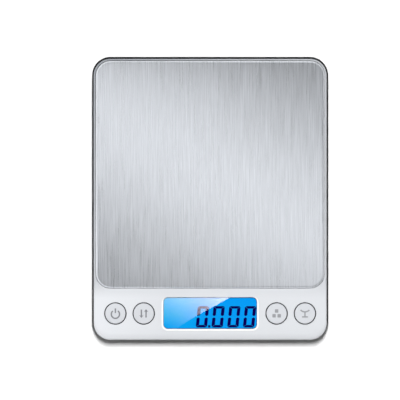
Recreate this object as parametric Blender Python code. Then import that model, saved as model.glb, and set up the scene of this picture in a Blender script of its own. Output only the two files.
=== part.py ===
"""Digital gram scale: a bench scale with a steel pan, a load cell, four keys and a backlit display.

Sizes below are in millimetres; the mesh helpers turn them into Blender's metres.
The origin is at the centre of the footprint, on the bench. +Z is up and the display is at -Y.
"""

import math

import bmesh
import bpy
from mathutils import Matrix, Vector

MM = 0.001
CORNER_STEPS = 5  # segments in a quarter turn of an outline
FILLET_STEPS = 3  # segments in a rounded edge
NOSE_STEPS = 5  # segments in the panel's rolled front edge

# Driving dimensions
BODY_WIDTH = 106.0
BODY_DEPTH = 127.0
BODY_HEIGHT = 19.0
CORNER_RADIUS = 8.2
FOOT_PROUD = 1.0
PARTING_Z = 11.0  # top of the lower shell
RECESS_Z = 15.5  # floor of the recess that the pan sits in
PANEL_Z = 17.2  # top of the control panel and of the rim round the pan
LOWER_FILLET = 3.6
LOWER_DRAFT = 0.9  # how far the lower shell's wall leans in towards the bottom
HOUSING_EDGE = 0.7
NOSE = (3.2, 1.2)  # how far back and how far down the panel's front edge rolls over
BACK_LEDGE = 1.0  # how far the lower shell stands out past the upper housing, at the back
SIDE_LEDGE = 0.75  # the same at the sides
FRONT_STEP = 0.6  # how far the upper housing stands out past the lower shell, at the front
SEAM = 0.2  # gap between the two halves of the case
CONTACT_GAP = 0.15  # gap between pieces that rest on each other
PAST = 1.0  # how far a cutter runs on past the face that it opens

# Weighing pan and what carries it
PAN_SIZE = (102.4, 101.8)
PAN_SHEET = 0.6
PAN_CORNER = 6.6
PAN_EDGE_RADIUS = 1.0
PAN_SKIRT_Z = 16.2
PAN_BACK_MARGIN = 2.0
PAN_GAP = 0.2  # between the pan and the control panel
RIM_GAP = 0.35  # between the pan and the rim at its sides and back
PAN_TRAVEL = 0.5
CARRIER_GAP = 0.4  # between the pan's skirt and the plate inside it
CARRIER_Z = (17.0, 17.9)
CARRIER_SEAT_Z = 16.15  # where the platform screws' heads rest

# Load cell
BEAM_LENGTH = 60.0
BEAM_WIDTH = 12.0
BEAM_Z = (5.0, 12.0)
BEAM_HOLE_X = (18.0, 26.0)
BEAM_SPACER_X = (14.5, 30.0)
SPACER_THICK = 0.7
BEAM_BORE = 2.7
BEAM_BORE_X = 7.0
BEAM_SCREW_RADIUS = 1.2
BEAM_HOLE_RADIUS = 1.45

# Control panel
KEY_X = (-42.5, -29.8, 29.8, 42.5)
KEY_NAMES = ("power", "mode", "pieces", "tare")
KEY_Y = -51.7
KEY_HOLE_RADIUS = 5.0
KEY_CAP_RADIUS = 4.55
KEY_FLANGE_RADIUS = 5.3
WINDOW_SIZE = (42.0, 14.2)
WINDOW_Y = -51.5
WINDOW_CORNER = 2.0
WINDOW_Z = 16.4
WINDOW_CHAMFER = 0.7
WINDOW_FIT = 0.2
WINDOW_FLANGE = (44.6 / 2, 8.2)
SWITCH_HALF = 3.0
SWITCH_Z = 12.0

# Electronics
PCB_Z = (6.9, 8.5)
PCB_X = 47.5
PCB_Y = (-60.1, -41.8)
LCD_X = 23.0
LCD_Y = (-59.4, -42.9)
LCD_Z = (11.9, 13.8)
HOLDER_WALL = 0.9
PCB_SCREWS = ((-36.15, -44.6), (36.15, -44.6), (36.15, -58.0))

# Battery bay: two AAA cells, side by side along X
CELL_RADIUS = 5.25
CELL_BODY = 43.7
NUB_LENGTH = 0.8
CELL_Z = 7.75
CELL_Y = (33.45, 44.95)
BAY_X = 25.5
BAY_Y = (28.0, 50.4)
BAY_TOP = 13.2
BAY_WALL = 1.2
DOOR_THICK = 1.25
DOOR_LIP = 1.1
DOOR_GAP = 0.3
DOOR_HOOK_X = (-16.0, 16.0)
DOOR_GRIP_Y = (36.0, 37.6, 39.2, 40.8, 42.4)
CONTACT_THICK = 0.4
CONTACT_TAB_Z = 11.1

# Fasteners and feet
CASE_SCREWS = ((-42.0, -36.0), (42.0, -36.0), (-42.0, 36.0), (42.0, 36.0))
SCREW_POST_RADIUS = 4.2
SCREW_HEAD_RADIUS = 2.6
FEET = {
    "front_left": (-41.5, -51.5),
    "front_right": (41.5, -51.5),
    "back_left": (-41.5, 51.5),
    "back_right": (41.5, 51.5),
}
FOOT_RADIUS = 5.0
FOOT_RECESS = 0.8
STOP_X = 22.0

# Derived places
HALF_WIDTH = BODY_WIDTH / 2
HALF_DEPTH = BODY_DEPTH / 2
BASE_Z = FOOT_PROUD
FLOOR_Z = BASE_Z + 1.6
PAN_BACK = HALF_DEPTH - PAN_BACK_MARGIN
PAN_FRONT = PAN_BACK - PAN_SIZE[1]
PAN_Y = (PAN_BACK + PAN_FRONT) / 2
PAN_UNDER_Z = BODY_HEIGHT - PAN_SHEET
HOUSING_X = HALF_WIDTH - SIDE_LEDGE
HOUSING_FRONT = -HALF_DEPTH
HOUSING_BACK = HALF_DEPTH - BACK_LEDGE
HOUSING_CORNER = CORNER_RADIUS - SIDE_LEDGE
HOUSING_WALL = 1.6
DECK_Z = RECESS_Z - 1.2  # underside of the deck
PANEL_UNDER_Z = PANEL_Z - 1.8


# ---------------------------------------------------------------- materials

def material(name, colour, roughness, metallic=0.0, transmission=0.0):
    made = bpy.data.materials.new(name)
    made.use_nodes = True
    surface = made.node_tree.nodes["Principled BSDF"]
    surface.inputs["Base Color"].default_value = (*colour, 1.0)
    surface.inputs["Roughness"].default_value = roughness
    surface.inputs["Metallic"].default_value = metallic
    surface.inputs["Transmission Weight"].default_value = transmission
    made.diffuse_color = (*colour, 1.0)
    return made


def make_materials():
    return {
        "steel": material("brushed_steel", (0.62, 0.63, 0.65), 0.32, 1.0),
        "silver": material("silver_plastic", (0.80, 0.82, 0.84), 0.35, 0.2),
        "black": material("black_plastic", (0.02, 0.02, 0.022), 0.45),
        "white": material("white_plastic", (0.85, 0.85, 0.83), 0.5),
        "rubber": material("rubber", (0.03, 0.03, 0.03), 0.8),
        "clear": material("clear_acrylic", (0.9, 0.95, 1.0), 0.03, 0.0, 0.9),
        "lcd": material("lcd_glass", (0.03, 0.36, 0.85), 0.1),
        "guide": material("light_guide", (0.35, 0.65, 0.95), 0.2),
        "board": material("circuit_board", (0.02, 0.18, 0.07), 0.45),
        "aluminium": material("aluminium", (0.75, 0.76, 0.77), 0.35, 1.0),
        "zinc": material("zinc_steel", (0.6, 0.6, 0.6), 0.35, 1.0),
        "nickel": material("nickel", (0.72, 0.70, 0.66), 0.25, 1.0),
        "cell": material("cell_jacket", (0.08, 0.22, 0.45), 0.35, 0.3),
        "epoxy": material("black_epoxy", (0.015, 0.015, 0.015), 0.3),
        "silicone": material("silicone", (0.8, 0.8, 0.78), 0.6),
        "tape": material("foam_tape", (0.7, 0.7, 0.65), 0.9),
        "red": material("red_wire", (0.6, 0.02, 0.02), 0.4),
        "dark": material("black_wire", (0.02, 0.02, 0.02), 0.4),
        "grey": material("grey_cable", (0.35, 0.35, 0.36), 0.5),
    }


# ---------------------------------------------------------------- outlines

def arc(cx, cy, radius, start, end, steps=CORNER_STEPS):
    """Points of an arc, in degrees, both ends included."""
    angles = [math.radians(start + (end - start) * i / steps) for i in range(steps + 1)]
    return [(cx + radius * math.cos(a), cy + radius * math.sin(a)) for a in angles]


def rounded(x, y, radius, inset=0.0):
    """A rounded rectangle, anticlockwise, from its x and y ranges, brought in by inset."""
    x0, x1, y0, y1 = x[0] + inset, x[1] - inset, y[0] + inset, y[1] - inset
    r = max(radius - inset, 0.05)
    return (
        arc(x1 - r, y1 - r, r, 0, 90)
        + arc(x0 + r, y1 - r, r, 90, 180)
        + arc(x0 + r, y0 + r, r, 180, 270)
        + arc(x1 - r, y0 + r, r, 270, 360)
    )


def span(centre, half):
    return (centre - half, centre + half)


def lower_outline(inset=0.0):
    return rounded(span(0, HALF_WIDTH), (FRONT_STEP - HALF_DEPTH, HALF_DEPTH), CORNER_RADIUS, inset)


def housing_outline(inset=0.0):
    return rounded(span(0, HOUSING_X), (HOUSING_FRONT, HOUSING_BACK), HOUSING_CORNER, inset)


def housing_level(inset, nose, z):
    """The upper housing's outline at one height, with its front edge brought back by nose."""
    y = (HOUSING_FRONT + nose, HOUSING_BACK - inset)
    ring = rounded(span(0, HOUSING_X - inset), y, HOUSING_CORNER - inset)
    return [(px, py, z) for px, py in ring]


def housing_levels(base_z):
    """The upper housing's outside: straight walls, rounded over at the top and rolled over in front."""
    back, drop = NOSE
    levels = [housing_level(0.0, 0.0, base_z)]
    for i in range(NOSE_STEPS + 1):
        turn = math.radians(90 * i / NOSE_STEPS)
        below = drop * (1 - math.sin(turn))
        rise = max(0.0, 1 - below / HOUSING_EDGE)
        side = HOUSING_EDGE * (1 - math.sqrt(1 - rise**2))
        levels.append(housing_level(side, back * (1 - math.cos(turn)), PANEL_Z - below))
    return levels


def pan_outline(inset=0.0):
    return rounded(span(0, PAN_SIZE[0] / 2), (PAN_FRONT, PAN_BACK), PAN_CORNER, inset)


def recess_outline():
    x = span(0, PAN_SIZE[0] / 2 + RIM_GAP)
    return rounded(x, (PAN_FRONT - PAN_GAP, PAN_BACK + RIM_GAP), PAN_CORNER + PAN_GAP)


# ---------------------------------------------------------------- meshes

def ring_solid(levels):
    """A closed solid skinned over rings of points, given from the bottom up, with flat ends."""
    bm = bmesh.new()
    rings = [[bm.verts.new(Vector(p) * MM) for p in ring] for ring in levels]
    for low, high in zip(rings, rings[1:]):
        for i in range(len(low)):
            j = (i + 1) % len(low)
            bm.faces.new((low[i], low[j], high[j], high[i]))
    bm.faces.new(list(reversed(rings[0])))
    bm.faces.new(rings[-1])
    return bm


def block(outline, levels):
    """A solid from outline(inset) at each (inset, z) in levels, from the bottom up."""
    return ring_solid([[(x, y, z) for x, y in outline(inset)] for inset, z in levels])


def prism(points, z):
    return ring_solid([[(px, py, level) for px, py in points] for level in z])


def box(x, y, z):
    return prism([(x[1], y[1]), (x[0], y[1]), (x[0], y[0]), (x[1], y[0])], z)


def rounded_box(x, y, radius, z):
    return prism(rounded(x, y, radius), z)


def rounded_edge(inset, z, radius, top=True):
    """(inset, z) levels of a rounded edge that ends at z, from the bottom up."""
    turns = [math.radians(90 * i / FILLET_STEPS) for i in range(FILLET_STEPS + 1)]
    if top:
        return [(inset + radius * (1 - math.cos(a)), z - radius * (1 - math.sin(a))) for a in turns]
    return [(inset + radius * (1 - math.sin(a)), z + radius * (1 - math.cos(a))) for a in turns]


def turned(profile, x=0.0, y=0.0, segments=24):
    """A solid of revolution about a vertical axis, from (radius, z) points, bottom to top.
    The first and last points are on the axis."""
    bm = bmesh.new()
    low = bm.verts.new(Vector((x, y, profile[0][1])) * MM)
    high = bm.verts.new(Vector((x, y, profile[-1][1])) * MM)
    turns = [2 * math.pi * i / segments for i in range(segments)]
    rings = [
        [bm.verts.new(Vector((x + r * math.cos(a), y + r * math.sin(a), z)) * MM) for a in turns]
        for r, z in profile[1:-1]
    ]
    for i in range(segments):
        j = (i + 1) % segments
        bm.faces.new((low, rings[0][j], rings[0][i]))
        for a, b in zip(rings, rings[1:]):
            bm.faces.new((a[i], a[j], b[j], b[i]))
        bm.faces.new((rings[-1][i], rings[-1][j], high))
    return bm


def cylinder(x, y, radius, z, segments=20):
    return turned([(0, z[0]), (radius, z[0]), (radius, z[1]), (0, z[1])], x, y, segments)


def laid_along(bm, axis):
    """Turns a solid made about Z so that its axis lies along X or Y."""
    turn = Matrix.Rotation(math.radians(90), 4, "Y" if axis == "X" else "X")
    bm.transform(turn)
    return bm


def moved(bm, x=0.0, y=0.0, z=0.0):
    bm.transform(Matrix.Translation(Vector((x, y, z)) * MM))
    return bm


def merged(parts):
    """Several separate solids in one mesh, to cut or to add together."""
    whole = bmesh.new()
    for part in parts:
        mesh = bpy.data.meshes.new("part")
        part.to_mesh(mesh)
        part.free()
        whole.from_mesh(mesh)
        bpy.data.meshes.remove(mesh)
    return whole


# ---------------------------------------------------------------- objects

def node(name, bm, surface, parent=None, smooth_angle=35.0):
    mesh = bpy.data.meshes.new(name)
    bmesh.ops.recalc_face_normals(bm, faces=bm.faces)
    bm.to_mesh(mesh)
    bm.free()
    mesh.shade_smooth()
    mesh.set_sharp_from_angle(angle=math.radians(smooth_angle))
    made = bpy.data.objects.new(name, mesh)
    bpy.context.scene.collection.objects.link(made)
    if surface:
        mesh.materials.append(surface)
    if parent:
        made.parent = parent
        made.matrix_parent_inverse = Matrix.Translation(parent.location).inverted()
    return made


def combine(target, parts, operation, label):
    """A Boolean of target with several separate solids."""
    tool = node(f"{target.name}_{label}", merged(parts), None)
    tool.hide_render = True
    tool.display_type = "WIRE"
    modifier = target.modifiers.new(label, "BOOLEAN")
    modifier.operation = operation
    modifier.object = tool
    modifier.solver = "EXACT"
    return target


def cut(target, parts, label):
    return combine(target, parts, "DIFFERENCE", label)


def add(target, parts, label):
    return combine(target, parts, "UNION", label)


def joint_axis(name, place):
    """An empty on a joint's axis; the pieces that move with the joint are its children."""
    made = bpy.data.objects.new(name, None)
    made.location = Vector(place) * MM
    bpy.context.scene.collection.objects.link(made)
    return made


def smooth_path(points, samples):
    """Points along a Catmull-Rom curve through the given ones, samples to a span."""
    ends = [points[0], *points, points[-1]]
    made = []
    for a, b, c, d in zip(ends, ends[1:], ends[2:], ends[3:]):
        a, b, c, d = (Vector(p) for p in (a, b, c, d))
        for i in range(samples):
            t = i / samples
            made.append(
                0.5 * (2 * b + (c - a) * t + (2 * a - 5 * b + 4 * c - d) * t**2
                       + (3 * b - a - 3 * c + d) * t**3)
            )
    return [*made, Vector(points[-1])]


def wire(name, points, radius, surface, samples=3, sides=1):
    curve = bpy.data.curves.new(name, "CURVE")
    curve.dimensions = "3D"
    curve.bevel_depth = radius * MM
    curve.bevel_resolution = sides
    curve.use_fill_caps = True
    path = smooth_path(points, samples) if samples else [Vector(p) for p in points]
    spline = curve.splines.new("POLY")
    spline.points.add(len(path) - 1)
    for target, place in zip(spline.points, path):
        target.co = (*(place * MM), 1.0)
    curve.materials.append(surface)
    made = bpy.data.objects.new(name, curve)
    bpy.context.scene.collection.objects.link(made)
    return made


def screw(name, x, y, head_z, tip_z, head, shank, surface, parent=None):
    """A pan-head screw with a cross recess. head is (radius, height); the tip may be up or down."""
    radius, height = head
    up = 1 if tip_z > head_z else -1
    profile = [
        (0, head_z), (radius * 0.85, head_z), (radius, head_z + up * height * 0.35),
        (radius, head_z + up * height), (shank, head_z + up * height), (shank, tip_z), (0, tip_z),
    ]
    made = node(name, turned(profile if up > 0 else profile[::-1], x, y, 12), surface, parent)
    half, slot, depth = radius * 0.55, radius * 0.16, height * 0.55
    z = sorted((head_z - up * 0.5, head_z + up * depth))
    plus = [(half, slot), (slot, slot), (slot, half), (-slot, half), (-slot, slot), (-half, slot),
            (-half, -slot), (-slot, -slot), (-slot, -half), (slot, -half), (slot, -slot), (half, -slot)]
    return cut(made, [prism([(x + px, y + py) for px, py in plus], z)], "recess")


# ---------------------------------------------------------------- casing

def make_lower_shell(m):
    outer = rounded_edge(LOWER_DRAFT, BASE_Z, LOWER_FILLET, top=False) + [(0.0, PARTING_Z)]
    shell = node("lower_shell", block(lower_outline, outer), m["black"])
    wall_base, wall_top, inner_fillet = 2.7, 1.9, 2.2
    inner = rounded_edge(wall_base, FLOOR_Z, inner_fillet, top=False)
    inner += [(wall_top, PARTING_Z + PAST)]
    cut(shell, [block(lower_outline, inner)], "cavity")

    root_z = BASE_Z + 0.8  # additions start inside the floor
    bay_y = (BAY_Y[0] - BAY_WALL, BAY_Y[1] + BAY_WALL)
    bay = box(span(0, BAY_X + BAY_WALL), bay_y, (root_z, BAY_TOP + 0.8))
    posts = [cylinder(x, y, SCREW_POST_RADIUS, (root_z, 8.6)) for x, y in CASE_SCREWS]
    pedestal_x = (-BEAM_SPACER_X[1] - 1, -BEAM_SPACER_X[0] + 1)
    pedestal_top = BEAM_Z[0] - SPACER_THICK - 2 * CONTACT_GAP
    pedestal = box(pedestal_x, span(PAN_Y, BEAM_WIDTH / 2 + 1), (root_z, pedestal_top))
    stop_boss = cylinder(STOP_X, PAN_Y, 3.0, (root_z, 3.6))
    notch_pad = box(span(0, 9), (BAY_Y[0] - 9.0, BAY_Y[0] - BAY_WALL - 0.4), (root_z, 3.4))
    add(shell, [bay, pedestal, stop_boss, notch_pad, *posts], "inside")

    below = BASE_Z - PAST / 2
    cut(shell, [box(span(0, BAY_X), BAY_Y, (below, BAY_TOP))], "battery_bay")
    seat_y = (BAY_Y[0] - DOOR_LIP, BAY_Y[1] + DOOR_LIP)
    seat_top = BASE_Z + DOOR_THICK + CONTACT_GAP
    cut(shell, [rounded_box(span(0, BAY_X + DOOR_LIP), seat_y, 1.0, (below, seat_top))], "door_seat")
    hook_y, hook_z = (BAY_Y[1] - 0.5, BAY_Y[1] + 3.2), (BASE_Z + DOOR_THICK, BASE_Z + 3.7)
    hooks = [box(span(x, 2.6), hook_y, hook_z) for x in DOOR_HOOK_X]
    wall_x = (BAY_X - 0.3, BAY_X + BAY_WALL + 0.3)
    leads = [box(wall_x, span(y, 1.4), span(CONTACT_TAB_Z, 0.6)) for y in CELL_Y]
    cut(shell, hooks + leads, "slots")

    heads = [cylinder(x, y, SCREW_HEAD_RADIUS + 0.3, (below, 4.0)) for x, y in CASE_SCREWS]
    heads += [cylinder(-x, PAN_Y, 3.1, (below, 2.8)) for x in BEAM_HOLE_X]
    cut(shell, heads, "counterbores")
    holes = [cylinder(x, y, 1.6, (3.5, 9.5), 12) for x, y in CASE_SCREWS]
    holes += [cylinder(-x, PAN_Y, 1.4, (2.3, 5.5), 12) for x in BEAM_HOLE_X]
    holes += [cylinder(STOP_X, PAN_Y, 1.65, (below, 4.5), 12)]
    cut(shell, holes, "screw_holes")
    recess = (below, BASE_Z + FOOT_RECESS)
    cut(shell, [cylinder(x, y, FOOT_RADIUS + 0.2, recess) for x, y in FEET.values()], "foot_seats")
    finger = turned([(0, -0.9), (7.5, -0.9), (5.2, 0.45), (0, 1.1)], segments=24)
    finger.transform(Matrix.Scale(0.55, 4, (0, 1, 0)))
    cut(shell, [moved(finger, 0, BAY_Y[0] - 4.6, BASE_Z)], "finger_notch")
    label = rounded_box(span(0, 27.0), (-30.0, -8.0), 1.5, (below, BASE_Z + 0.3))
    cut(shell, [label], "label_seat")


def window_opening(inset):
    half_x, half_y = WINDOW_SIZE[0] / 2, WINDOW_SIZE[1] / 2
    return rounded(span(0, half_x), span(WINDOW_Y, half_y), WINDOW_CORNER, inset)


def make_upper_housing(m):
    base_z = PARTING_Z + SEAM
    housing = node("upper_housing", ring_solid(housing_levels(base_z)), m["silver"])
    cut(housing, [prism(recess_outline(), (RECESS_Z, PANEL_Z + PAST))], "pan_recess")
    deck_cavity = [(HOUSING_WALL, base_z - PAST), (HOUSING_WALL, DECK_Z)]
    cut(housing, [block(housing_outline, deck_cavity)], "deck_cavity")
    front_y = (HOUSING_FRONT + HOUSING_WALL, PAN_FRONT - PAN_GAP - HOUSING_WALL)
    front = rounded(span(0, HOUSING_X - HOUSING_WALL), front_y, HOUSING_CORNER - HOUSING_WALL)
    cut(housing, [prism(front, (DECK_Z - PAST, PANEL_UNDER_Z))], "panel_cavity")

    posts = [cylinder(x, y, 3.2, (8.9, DECK_Z + 0.5)) for x, y in CASE_SCREWS]
    board_post = (PCB_Z[1] + CONTACT_GAP, PANEL_UNDER_Z + 0.5)
    posts += [cylinder(x, y, 2.1, board_post, 12) for x, y in PCB_SCREWS]
    add(housing, posts, "screw_posts")
    holes = [cylinder(x, y, 1.5, (8.0, 13.6), 12) for x, y in CASE_SCREWS]
    holes += [cylinder(x, y, 1.1, (8.0, 13.6), 12) for x, y in PCB_SCREWS]
    cut(housing, holes, "pilot_holes")

    boss_x = (BEAM_SPACER_X[0] - 2, BEAM_SPACER_X[1] + 2)
    boss_y = span(PAN_Y, BEAM_WIDTH / 2 + 1.5)
    boss = rounded_box(boss_x, boss_y, 1.5, (DECK_Z - PAST, RECESS_Z + PAST))
    key_z = (PANEL_UNDER_Z - PAST, PANEL_Z + PAST)
    keys = [cylinder(x, KEY_Y, KEY_HOLE_RADIUS, key_z, 24) for x in KEY_X]
    cut(housing, [boss, *keys], "key_holes")
    slope = WINDOW_CHAMFER / (PANEL_Z - WINDOW_Z)
    levels = [(0.0, PANEL_UNDER_Z - PAST), (0.0, WINDOW_Z)]
    levels += [(-WINDOW_CHAMFER - slope * PAST, PANEL_Z + PAST)]
    cut(housing, [block(window_opening, levels)], "window_opening")


# ---------------------------------------------------------------- weighing platform

def make_platform(m):
    axis = joint_axis("platform_axis", (0, PAN_Y, PAN_UNDER_Z))
    outer = [(0.0, PAN_SKIRT_Z)] + rounded_edge(0.0, BODY_HEIGHT, PAN_EDGE_RADIUS)
    pan = node("platform_pan", block(pan_outline, outer), m["steel"], axis)
    inner = [(PAN_SHEET, PAN_SKIRT_Z - PAST)]
    inner += rounded_edge(PAN_SHEET, PAN_UNDER_Z, PAN_EDGE_RADIUS - PAN_SHEET)
    cut(pan, [block(pan_outline, inner)], "inside")

    wall = PAN_SHEET + CARRIER_GAP
    plate = block(pan_outline, [(wall, CARRIER_Z[0]), (wall, CARRIER_Z[1])])
    carrier = node("platform_carrier", plate, m["black"], axis)
    inside_plate = CARRIER_Z[0] + 0.3
    rim = block(pan_outline, [(wall + 1.5, PAN_SKIRT_Z), (wall + 1.5, inside_plate)])
    add(carrier, [rim], "rim")
    pocket_x = ((-47.5, -17.0), (-16.0, 12.0), (32.5, 47.5))
    pocket_y = ((PAN_FRONT + 4, PAN_Y - 9), (PAN_Y - 8, PAN_Y + 8), (PAN_Y + 9, PAN_BACK - 4))
    pocket_z = (PAN_SKIRT_Z - PAST, CARRIER_Z[0])
    pockets = [box(x, y, pocket_z) for x in pocket_x for y in pocket_y]
    pockets += [box((13.0, 31.5), y, pocket_z) for y in (pocket_y[0], pocket_y[2])]
    cut(carrier, pockets, "rib_pockets")
    boss_z = BEAM_Z[1] + SPACER_THICK + 2 * CONTACT_GAP
    boss = box(BEAM_SPACER_X, span(PAN_Y, BEAM_WIDTH / 2), (boss_z, inside_plate))
    add(carrier, [boss], "boss")
    seats = (CARRIER_SEAT_Z, CARRIER_Z[1] + PAST)
    cut(carrier, [cylinder(x, PAN_Y, 3.1, seats, 16) for x in BEAM_HOLE_X], "counterbores")
    holes = (boss_z - PAST, CARRIER_SEAT_Z + 0.5)
    cut(carrier, [cylinder(x, PAN_Y, BEAM_HOLE_RADIUS, holes, 12) for x in BEAM_HOLE_X], "screw_holes")

    tape = block(pan_outline, [(wall + 2.0, CARRIER_Z[1] + 0.1), (wall + 2.0, PAN_UNDER_Z - 0.1)])
    node("pan_adhesive_sheet", tape, m["tape"], axis)
    spacer_z = BEAM_Z[1] + CONTACT_GAP
    spacer_plate("load_cell_platform_spacer", BEAM_SPACER_X, spacer_z, 1, m, axis)
    for i, x in enumerate(BEAM_HOLE_X):
        name = f"platform_screw_{i + 1}"
        screw(name, x, PAN_Y, 17.8, 6.5, (2.75, 1.5), BEAM_SCREW_RADIUS, m["zinc"], axis)


def spacer_plate(name, x, z, side, m, parent=None):
    plate = box(x, span(PAN_Y, BEAM_WIDTH / 2), (z, z + SPACER_THICK))
    made = node(name, plate, m["zinc"], parent)
    through = (z - PAST, z + SPACER_THICK + PAST)
    holes = [cylinder(side * hole, PAN_Y, BEAM_HOLE_RADIUS, through, 12) for hole in BEAM_HOLE_X]
    cut(made, holes, "holes")


def make_load_cell(m):
    block_y = span(PAN_Y, BEAM_WIDTH / 2)
    beam = node("load_cell_beam", box(span(0, BEAM_LENGTH / 2), block_y, BEAM_Z), m["aluminium"])
    mid_z = sum(BEAM_Z) / 2
    bores = []
    for x in (-BEAM_BORE_X, BEAM_BORE_X):
        bore = laid_along(cylinder(0, 0, BEAM_BORE, span(0, BEAM_WIDTH)), "Y")
        bores.append(moved(bore, x, PAN_Y, mid_z))
    cut(beam, bores, "flexure_bores")
    slot = box(span(0, BEAM_BORE_X), span(PAN_Y, BEAM_WIDTH), span(mid_z, 1.0))
    cut(beam, [slot], "flexure_slot")
    through = (BEAM_Z[0] - PAST, BEAM_Z[1] + PAST)
    screw_x = [side * x for side in (-1, 1) for x in BEAM_HOLE_X]
    cut(beam, [cylinder(x, PAN_Y, 1.4, through, 12) for x in screw_x], "screw_holes")

    base_end = (-BEAM_SPACER_X[1], -BEAM_SPACER_X[0])
    spacer_z = BEAM_Z[0] - SPACER_THICK - CONTACT_GAP
    spacer_plate("load_cell_base_spacer", base_end, spacer_z, -1, m)
    for i, x in enumerate(BEAM_HOLE_X):
        name = f"load_cell_base_screw_{i + 1}"
        screw(name, -x, PAN_Y, 1.15, 11.0, (2.75, 1.5), BEAM_SCREW_RADIUS, m["zinc"])
    stop_tip = BEAM_Z[0] - PAN_TRAVEL - 0.05
    screw("overload_stop_screw", STOP_X, PAN_Y, 1.2, stop_tip, (1.5, 0.8), 1.42, m["zinc"])

    def patch(inset):
        return rounded(span(0, 6.5), span(PAN_Y, 4.5), 2.0, inset)

    top = [(0.0, BEAM_Z[1] + 0.05), (0.0, BEAM_Z[1] + 0.5), (0.6, BEAM_Z[1] + 0.85)]
    node("strain_gauge_cover_top", block(patch, top), m["silicone"])
    under = [(0.6, BEAM_Z[0] - 0.85), (0.0, BEAM_Z[0] - 0.5), (0.0, BEAM_Z[0] - 0.05)]
    node("strain_gauge_cover_under", block(patch, under), m["silicone"])
    route = [(-7.3, PAN_Y, 12.8), (-10.0, 7.6, 12.95), (-12.0, 3.2, 12.7), (-14.5, -2.0, 8.5),
             (-18.5, -12.0, 4.3), (-24.0, -25.0, 4.2), (-28.5, -34.5, 6.6), (-29.6, -40.0, 9.4),
             (-29.6, -43.2, 9.5)]
    wire("load_cell_cable", route, 0.6, m["grey"])


# ---------------------------------------------------------------- keys, display and board

def make_keys(m):
    for name, x in zip(KEY_NAMES, KEY_X):
        axis = joint_axis(f"{name}_axis", (x, KEY_Y, PANEL_Z))
        cap = [(0, 13.05), (2.0, 13.05), (2.0, 14.2), (KEY_FLANGE_RADIUS, 14.2),
               (KEY_FLANGE_RADIUS, 15.0), (KEY_CAP_RADIUS, 15.0), (KEY_CAP_RADIUS, PANEL_Z - 0.15),
               (KEY_CAP_RADIUS - 0.3, PANEL_Z + 0.1), (0, PANEL_Z + 0.2)]
        node(f"button_{name}", turned(cap, x, KEY_Y, 24), m["silver"], axis)
        plunger = cylinder(x, KEY_Y, 1.7, (11.0, 12.9), 12)
        node(f"switch_plunger_{name}", plunger, m["black"], axis)
        body = box(span(x, SWITCH_HALF), span(KEY_Y, SWITCH_HALF), (PCB_Z[1] + CONTACT_GAP, SWITCH_Z))
        switch = node(f"tact_switch_{name}", body, m["epoxy"])
        cut(switch, [cylinder(x, KEY_Y, 2.0, (10.4, SWITCH_Z + PAST), 12)], "plunger_well")


def make_display(m):
    half_x, half_y = WINDOW_FLANGE
    flange_z = (LCD_Z[1] + 0.25, PANEL_UNDER_Z - SEAM)
    flange = rounded_box(span(0, half_x), span(WINDOW_Y, half_y), 1.0, flange_z)
    window = node("display_window", flange, m["clear"])
    fit = WINDOW_FIT
    island = [(fit, LCD_Z[1] + 0.7), (fit, WINDOW_Z - 0.1), (fit + 0.1, WINDOW_Z)]
    add(window, [block(window_opening, island)], "island")
    node("lcd_glass", box(span(0, LCD_X), LCD_Y, LCD_Z), m["lcd"])

    foot_z = PCB_Z[1] + CONTACT_GAP
    inner_x = LCD_X + 0.2
    inner_y = (LCD_Y[0] - 0.15, LCD_Y[1] + 0.15)
    outer_y = (PCB_Y[0] - 0.1, inner_y[1] + HOLDER_WALL - 0.2)
    frame = box(span(0, inner_x + HOLDER_WALL), outer_y, (foot_z, LCD_Z[1] + 0.1))
    holder = node("lcd_holder", frame, m["white"])
    cut(holder, [box(span(0, inner_x), inner_y, (foot_z - PAST, LCD_Z[1] + PAST))], "frame_opening")

    guide_z = (PCB_Z[1] + 0.3, LCD_Z[0] - 0.2)
    guide = box((0.1 - LCD_X, 20.9), (LCD_Y[0] + 0.1, -45.4), guide_z)
    node("backlight_guide", guide, m["guide"])
    lamp = box((21.2, 22.8), span(-52.3, 1.7), (guide_z[0], guide_z[1] - 0.6))
    node("backlight_led", lamp, m["white"])
    strip = box(span(0, 21.0), (-44.9, -43.2), (foot_z, LCD_Z[0] - CONTACT_GAP))
    node("zebra_connector", strip, m["silicone"])


def make_board(m):
    board = node("main_pcb", rounded_box(span(0, PCB_X), PCB_Y, 5.0, PCB_Z), m["board"])
    through = (PCB_Z[0] - PAST, PCB_Z[1] + PAST)
    cut(board, [cylinder(x, y, 1.2, through, 12) for x, y in PCB_SCREWS], "holes")
    under = PCB_Z[0] - 0.1
    blob = [(0, under - 1.0), (2.4, under - 0.85), (4.4, under - 0.4), (5.2, under), (0, under)]
    node("controller_chip", turned(blob, -8.0, -51.5, 20), m["epoxy"])
    node("converter_chip", box(span(-22.0, 2.0), span(-50.5, 5.0), (under - 1.5, under)), m["epoxy"])
    for i, (x, y) in enumerate(PCB_SCREWS):
        screw(f"pcb_screw_{i + 1}", x, y, PCB_Z[0] - 1.1, 13.0, (1.9, 1.0), 0.9, m["zinc"])


# ---------------------------------------------------------------- batteries

def cell_solid(direction, y):
    """An AAA cell lying along X, with its nub towards direction."""
    nub_tip = 24.6
    body_end = nub_tip - NUB_LENGTH
    profile = [(0, -CELL_BODY), (CELL_RADIUS - 0.5, -CELL_BODY), (CELL_RADIUS, -CELL_BODY + 0.4),
               (CELL_RADIUS, -0.4), (CELL_RADIUS - 0.5, 0), (1.9, 0), (1.9, NUB_LENGTH), (0, NUB_LENGTH)]
    bm = laid_along(turned(profile, segments=20), "X")
    if direction < 0:
        bm.transform(Matrix.Rotation(math.pi, 4, "Z"))
    return moved(bm, direction * body_end, y, CELL_Z)


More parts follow.
